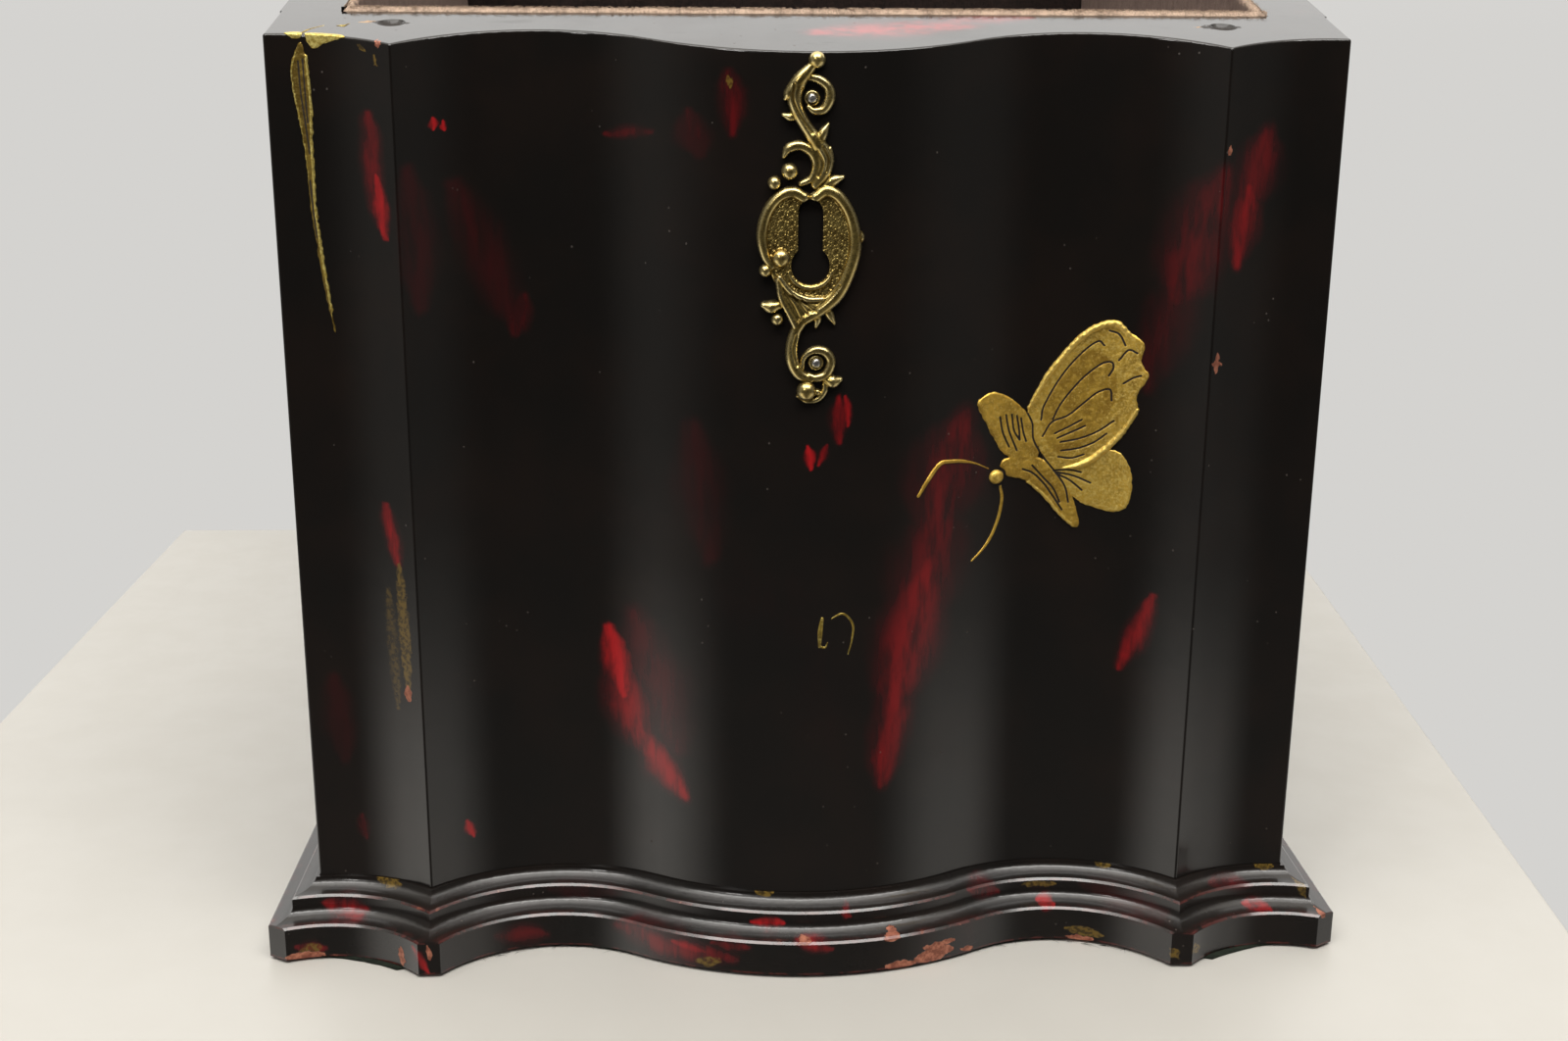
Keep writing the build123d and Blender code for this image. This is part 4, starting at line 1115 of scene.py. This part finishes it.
def lid_spray():
    """A generic gilt spray of blades on the outer face of the lid."""
    spray = Relief((-62, 50), (62, 190), 0.5)
    stems = (
        [(0, 60), (-6, 90), (4, 124), (-4, 160)],
        [(-3, 84), (-22, 104), (-38, 130)],
        [(2, 104), (22, 122), (40, 150)],
    )
    for line in stems:
        spray.rib(line, [0.7] * (len(line) - 1) + [0.4], rise=0.5)
    blades = ((-5, 160, -14, 184), (-3, 150, 10, 176), (-22, 104, -44, 108), (-30, 118, -30, 142),
              (-38, 130, -54, 146), (22, 122, 42, 120), (32, 136, 26, 160), (40, 150, 56, 170),
              (-5, 88, 16, 82), (3, 118, -14, 132))
    for u0, v0, u1, v1 in blades:
        run = np.array([u1 - u0, v1 - v0], float)
        side = np.array([-run[1], run[0]]) * 0.16
        a, b = np.array([u0, v0], float), np.array([u1, v1], float)
        spray.plate([a, a + run * 0.35 + side, a + run * 0.75 + side * 0.6, b,
                     a + run * 0.7 - side * 0.8, a + run * 0.3 - side * 0.9], 0.3, 0.8)
        spray.incise([a, a + run * 0.5, b], 0.4, 0.8)
    spray.build("gilt_lid_spray", on_lid_top, leaf_gilt, "lid", sink=0.1)


butterfly()
long_leaf()
small_marks()
lid_spray()


# ---------------------------------------------------------------- felt
def felt_panel(name, corners, nodes, body, material, seed):
    """A soft sheet of felt between four corners, crowned to its edges and slightly uneven."""
    a, b, c, d = (Vector(p) for p in corners)
    out = (b - a).cross(d - a).normalized()
    long, tall = (b - a).length, (d - a).length
    step = 1.3 * mm
    nu, nv = max(int(long / step), 4), max(int(tall / step), 4)
    edge = 0.9 * mm
    pile = 0.22 * mm

    def at(i, j, side):
        s, t = i / nu, j / nv
        p = (a * (1 - s) + b * s) * (1 - t) + (d * (1 - s) + c * s) * t
        rim = min(s * long, (1 - s) * long, t * tall, (1 - t) * tall)
        full = math.sqrt(max(0.0, 1 - (1 - min(rim / edge, 1)) ** 2))
        rough = noise.noise(p * 180 + Vector((seed, 0, 0))) * pile
        fine = noise.noise(p * 700 + Vector((0, seed, 0))) * pile * 0.5
        return p + out * side * (half_felt * full) + out * (rough + fine) * full

    vertices, faces = [], []
    face, back = {}, {}
    for j in range(nv + 1):
        for i in range(nu + 1):
            face[i, j] = len(vertices)
            vertices.append(at(i, j, 1))
    for j in range(nv + 1):
        for i in range(nu + 1):
            if i in (0, nu) or j in (0, nv):
                back[i, j] = face[i, j]
            else:
                back[i, j] = len(vertices)
                vertices.append(at(i, j, -1))
    for j in range(nv):
        for i in range(nu):
            ring = [(i, j), (i + 1, j), (i + 1, j + 1), (i, j + 1)]
            faces.append([face[key] for key in ring])
            faces.append([back[key] for key in ring[:1] + ring[:0:-1]])
    piece = add_piece(name, vertices, faces, material, body)
    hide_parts(*nodes)


def fringe(name, start, end, out, lean, count, reach, rise, material, body, seed):
    """Loose wool fibres along an edge: they stand out by rise and lean one way by reach."""
    rng = np.random.default_rng(seed)
    curve = bpy.data.curves.new(name, "CURVE")
    curve.dimensions = "3D"
    curve.bevel_depth = 0.045 * mm
    curve.bevel_resolution = 0
    curve.resolution_u = 2
    start, end, out, lean = (Vector(v) for v in (start, end, out, lean))
    out.normalize()
    lean.normalize()
    along = (end - start).normalized()
    for _ in range(count):
        root = start.lerp(end, rng.random()) + lean * (rng.random() - 0.5) * 1.2 * mm
        up = out * rise * (0.4 + 0.6 * rng.random())
        over = lean * reach * (0.1 + 0.9 * rng.random() ** 2)
        drift = along * reach * rng.normal(0, 0.6)
        curl = along * reach * rng.normal(0, 0.4)
        spline = curve.splines.new("POLY")
        spline.points.add(3)
        for k, point in enumerate(spline.points):
            t = k / 3
            p = root - out * 0.2 * mm + up * (2 * t - t * t) + drift * t + (over + curl) * t * t
            point.co = (*p, 1)
            point.radius = 1.0 - 0.6 * t
    curve.materials.append(material)
    piece = bpy.data.objects.new(name, curve)
    bpy.context.scene.collection.objects.link(piece)
    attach(piece, body)


half_felt = felt / 2
left_x, right_x = well_low.x + half_felt, well_high.x - half_felt
near_y, far_y = well_low.y + half_felt, well_high.y - half_felt
foot_z = well_high.z
floor_low, floor_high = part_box("lining_floor")


def top_at(y):
    return rim_z(y) + felt_proud


def lid_place(x, y, rise):
    """A place in the closed lid's frame, rise above the rim plane, swung open."""
    return opened(Vector((x, y, rim_z(y))) + Vector((0, 0, rise / math.cos(rim_slope))))


# The front and back linings run the well's whole width; the side linings fit between them.
wide = (left_x - half_felt, right_x + half_felt)
between = (near_y + half_felt, far_y - half_felt)
inside_x = (left_x + half_felt, right_x - half_felt)
runs = (
    ("front", [(x, near_y) for x in wide], (near_y, near_y), edge_felt, 1, 6),
    ("back", [(x, far_y) for x in wide], (far_y, far_y), deep_felt, 2, 6),
    ("left", [(left_x, y) for y in between], (near_y, far_y), edge_felt, 3, 7),
    ("right", [(right_x, y) for y in between], (near_y, far_y), edge_felt, 4, 7),
)
floor_plan = [(x, between[0]) for x in inside_x] + [(x, between[1]) for x in inside_x[::-1]]

for side, (start, end), (start_y, end_y), material, seed, _ in runs:
    corners = [(*start, foot_z), (*end, foot_z), (*end, top_at(end_y)), (*start, top_at(start_y))]
    felt_panel("felt_" + side, corners, ["lining_" + side], "box", material, seed)
# The well's floor, like its back, takes the near-black painted shade felt.
floor_mid = (floor_low.z + floor_high.z) / 2
felt_panel("felt_floor", [(x, y, floor_mid) for x, y in floor_plan], ["lining_floor"], "box",
           deep_felt, 5)

strip_low, strip_high = lid_gap + 1.2 * mm, lid_gap + lid_rail
for side, (start, end), _, _, _, seed in runs:
    corners = [lid_place(*start, strip_low), lid_place(*end, strip_low),
               lid_place(*end, strip_high), lid_place(*start, strip_high)]
    felt_panel("felt_lid_" + side, corners, ["lid_lining_" + side], "lid", lid_felt, seed)
panel_mid = lid_gap + lid_rail - half_felt
felt_panel("felt_lid_panel", [lid_place(x, y, panel_mid) for x, y in floor_plan],
           ["lid_lining_panel"], "lid", lid_felt, 8)

for side, start, end, inward, count, reach, rise, seed in (
    ("front", (left_x, near_y), (right_x, near_y), (0, 1, 0), 1500, 1.3 * mm, 0.62 * mm, 11),
    ("left", (left_x, near_y), (left_x, far_y), (1, 0, 0), 700, 1.2 * mm, 0.55 * mm, 12),
    ("right", (right_x, near_y), (right_x, far_y), (-1, 0, 0), 700, 1.2 * mm, 0.55 * mm, 13),
):
    fringe("fringe_" + side, (*start, top_at(start[1])), (*end, top_at(end[1])), rim_up, inward,
           count, reach, rise, loose_wool, "box", seed)


def base_pad():
    """The felt pad under the plinth, with an uneven cut edge."""
    pad_low, pad_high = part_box("base_felt")
    inset = pad_high.x - half_width
    shares = [s / 60 for s in range(-60, 61)]
    front = [Vector((pad_high.x * s, plan_y(half_width * s) - inset, 0)) for s in shares]
    corner_y = front[-1].y
    side = [Vector((pad_high.x, corner_y + (pad_high.y - corner_y) * t / 60, 0))
            for t in range(1, 60)]
    back = [Vector((pad_high.x * (1 - t / 30), pad_high.y, 0)) for t in range(61)]
    other = [Vector((-p.x, p.y, 0)) for p in reversed(side)]
    outline = front + side + back + other
    middle = Vector((0, (pad_low.y + pad_high.y) / 2, 0))
    levels = ((0.0, -0.2), (0.2, 0.35), (0.6, 0.35), (1.0, -0.2))
    vertices = []
    for share, bulge in levels:
        for p in outline:
            ragged = noise.noise(p * 260 + Vector((0, 0, share))) * 0.5 + bulge
            spot = p + (p - middle).normalized() * ragged * mm
            vertices.append(Vector((spot.x, spot.y, pad_low.z + share * (pad_high.z - pad_low.z))))
    n = len(outline)
    faces = [[r * n + k, r * n + (k + 1) % n, (r + 1) * n + (k + 1) % n, (r + 1) * n + k]
             for r in range(len(levels) - 1) for k in range(n)]
    faces += [list(reversed(range(n))), [3 * n + k for k in range(n)]]
    piece = add_piece("base_pad", vertices, faces, base_wool, "box")
    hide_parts("base_felt")


base_pad()
pad_forward = 8.6 * mm
fibre_lift = 0.4 * mm
for k in range(8):
    start, end = ((x, plan_y(x) - pad_forward, floor_z + fibre_lift)
                  for x in ((-1 + j / 4) * 0.96 * half_width for j in (k, k + 1)))
    fringe(f"base_fringe_{k}", start, end, (0, 0, 1), (0, -1, 0), 36, 2.4 * mm, 0.2 * mm,
           base_wool, "box", 21 + k)


# ---------------------------------------------------------------- stage
table_front_y = -175 * mm
table_back_y = 233 * mm
table_left_x = -240 * mm
table_right_x = 216 * mm
table_skew = -36 * mm
table_height = 0.3
wall_y, wall_reach, wall_foot, wall_top = 1.7, 4.0, -1.5, 3.2


def pale_surface(name, colour, rough_low, rough_high):
    g = Graph(name)
    cloud = g.noise(9, 3, 0.5)
    g.set(base_color=g.blend(g.ease(cloud, 0.3, 0.7), tuple(c * 0.97 for c in colour), colour))
    g.set(roughness=g.ease(g.noise(60, 3, 0.6), 0.3, 0.7, rough_low, rough_high))
    return g.material


def stage_mesh(name, points, faces, material):
    mesh = bpy.data.meshes.new(name)
    mesh.from_pydata(points, [], faces)
    mesh.materials.append(material)
    piece = bpy.data.objects.new(name, mesh)
    bpy.context.scene.collection.objects.link(piece)
    return piece


def table():
    """The pale block that the casket stands on: its right side runs slightly askew."""
    plan = ((table_left_x, table_front_y), (table_right_x + table_skew, table_front_y),
            (table_right_x, table_back_y), (table_left_x, table_back_y))
    points = [(x, y, z) for z in (floor_z - table_height, floor_z) for x, y in plan]
    faces = [[3, 2, 1, 0], [4, 5, 6, 7], [0, 1, 5, 4], [1, 2, 6, 5], [2, 3, 7, 6], [3, 0, 4, 7]]
    paint = pale_surface("table_top", (0.535, 0.519, 0.483), 0.35, 0.5)
    piece = stage_mesh("table", points, faces, paint)
    edge = piece.modifiers.new("edge", "BEVEL")
    edge.width = 1.5 * mm
    edge.segments = 3
    piece.visible_glossy = False


table()


def wall():
    """A glowing wall well behind the table: its emission is painted light standing in for a lit
    wall, brighter towards its top.
    """
    g = Graph("wall_paint")
    glow = g.ease(g.split(g.place)["Z"], 0.15, 0.95, 0.66, 1.35)
    g.set(base_color=(0.0, 0.0, 0.0, 1.0), roughness=1.0, specular_ior_level=0.0)
    # Painted light: the wall emits its own glow instead of being lit, stronger higher up.
    g.set(emission_color=(1.0, 0.985, 0.955, 1.0), emission_strength=glow)
    points = [(-wall_reach, wall_y, wall_foot), (wall_reach, wall_y, wall_foot),
              (wall_reach, wall_y, wall_top), (-wall_reach, wall_y, wall_top)]
    piece = stage_mesh("wall", points, [[0, 1, 2, 3]], g.material)


wall()


def room():
    """The room as a sky: dark towards the camera, bright to each side, pale where seen."""
    world = bpy.data.worlds.new("room")
    bpy.context.scene.world = world
    world.use_nodes = True
    g = Nodes(world.node_tree)
    g.tree.nodes.clear()
    x, y, z = g.split(g.add("TexCoord").outputs["Generated"])
    bearing = g.math("ARCTAN2", x, g.times(y, -1.0))
    right_side = g.ease(bearing, math.radians(30), math.radians(62), 0.0, 0.085)
    left_side = g.ease(bearing, math.radians(-28), math.radians(-64), 0.0, 0.15)
    lower = g.ease(z, -0.27, -0.43, 1.0, 6.7)
    sides = g.times(g.largest(right_side, left_side), lower)
    ground = g.ease(z, -0.15, -0.48, 0.01, 0.10)
    ceiling = g.ease(z, 0.55, 0.92, 0.0, 1.5)
    lit = g.add("Background")
    lit.inputs["Color"].default_value = (1.0, 0.955, 0.88, 1.0)
    g.feed(lit.inputs["Strength"], g.plus(g.plus(sides, ground), ceiling))
    seen = g.add("Background")
    seen.inputs["Color"].default_value = (0.66, 0.65, 0.63, 1.0)
    pick = g.add("MixShader")
    for socket, value in zip(pick.inputs, (g.add("LightPath").outputs["Is Camera Ray"],
                                           lit.outputs[0], seen.outputs[0])):
        g.feed(socket, value)
    g.feed(g.add("OutputWorld").inputs[0], pick.outputs[0])


room()


def soft_light(name, place, towards, size, power):
    data = bpy.data.lights.new(name, "AREA")
    data.shape = "RECTANGLE"
    data.size, data.size_y = size
    data.energy = power
    data.color = (1.0, 0.98, 0.95)
    lamp = bpy.data.objects.new(name, data)
    lamp.location = place
    lamp.rotation_mode = "QUATERNION"
    lamp.rotation_quaternion = (Vector(towards) - Vector(place)).to_track_quat("-Z", "Y")
    bpy.context.scene.collection.objects.link(lamp)


soft_light("overhead", (0.0, -0.5, 1.2), (0, -0.1, 0.05), (1.5, 0.8), 8.5)
soft_light("strip", (0.0, -0.72, 1.18), (0, -0.14, 0.01), (1.7, 0.12), 7.0)
soft_light("front_left", (-0.55, -1.1, 0.75), (0, -0.1, 0.12), (0.16, 0.16), 1.6)
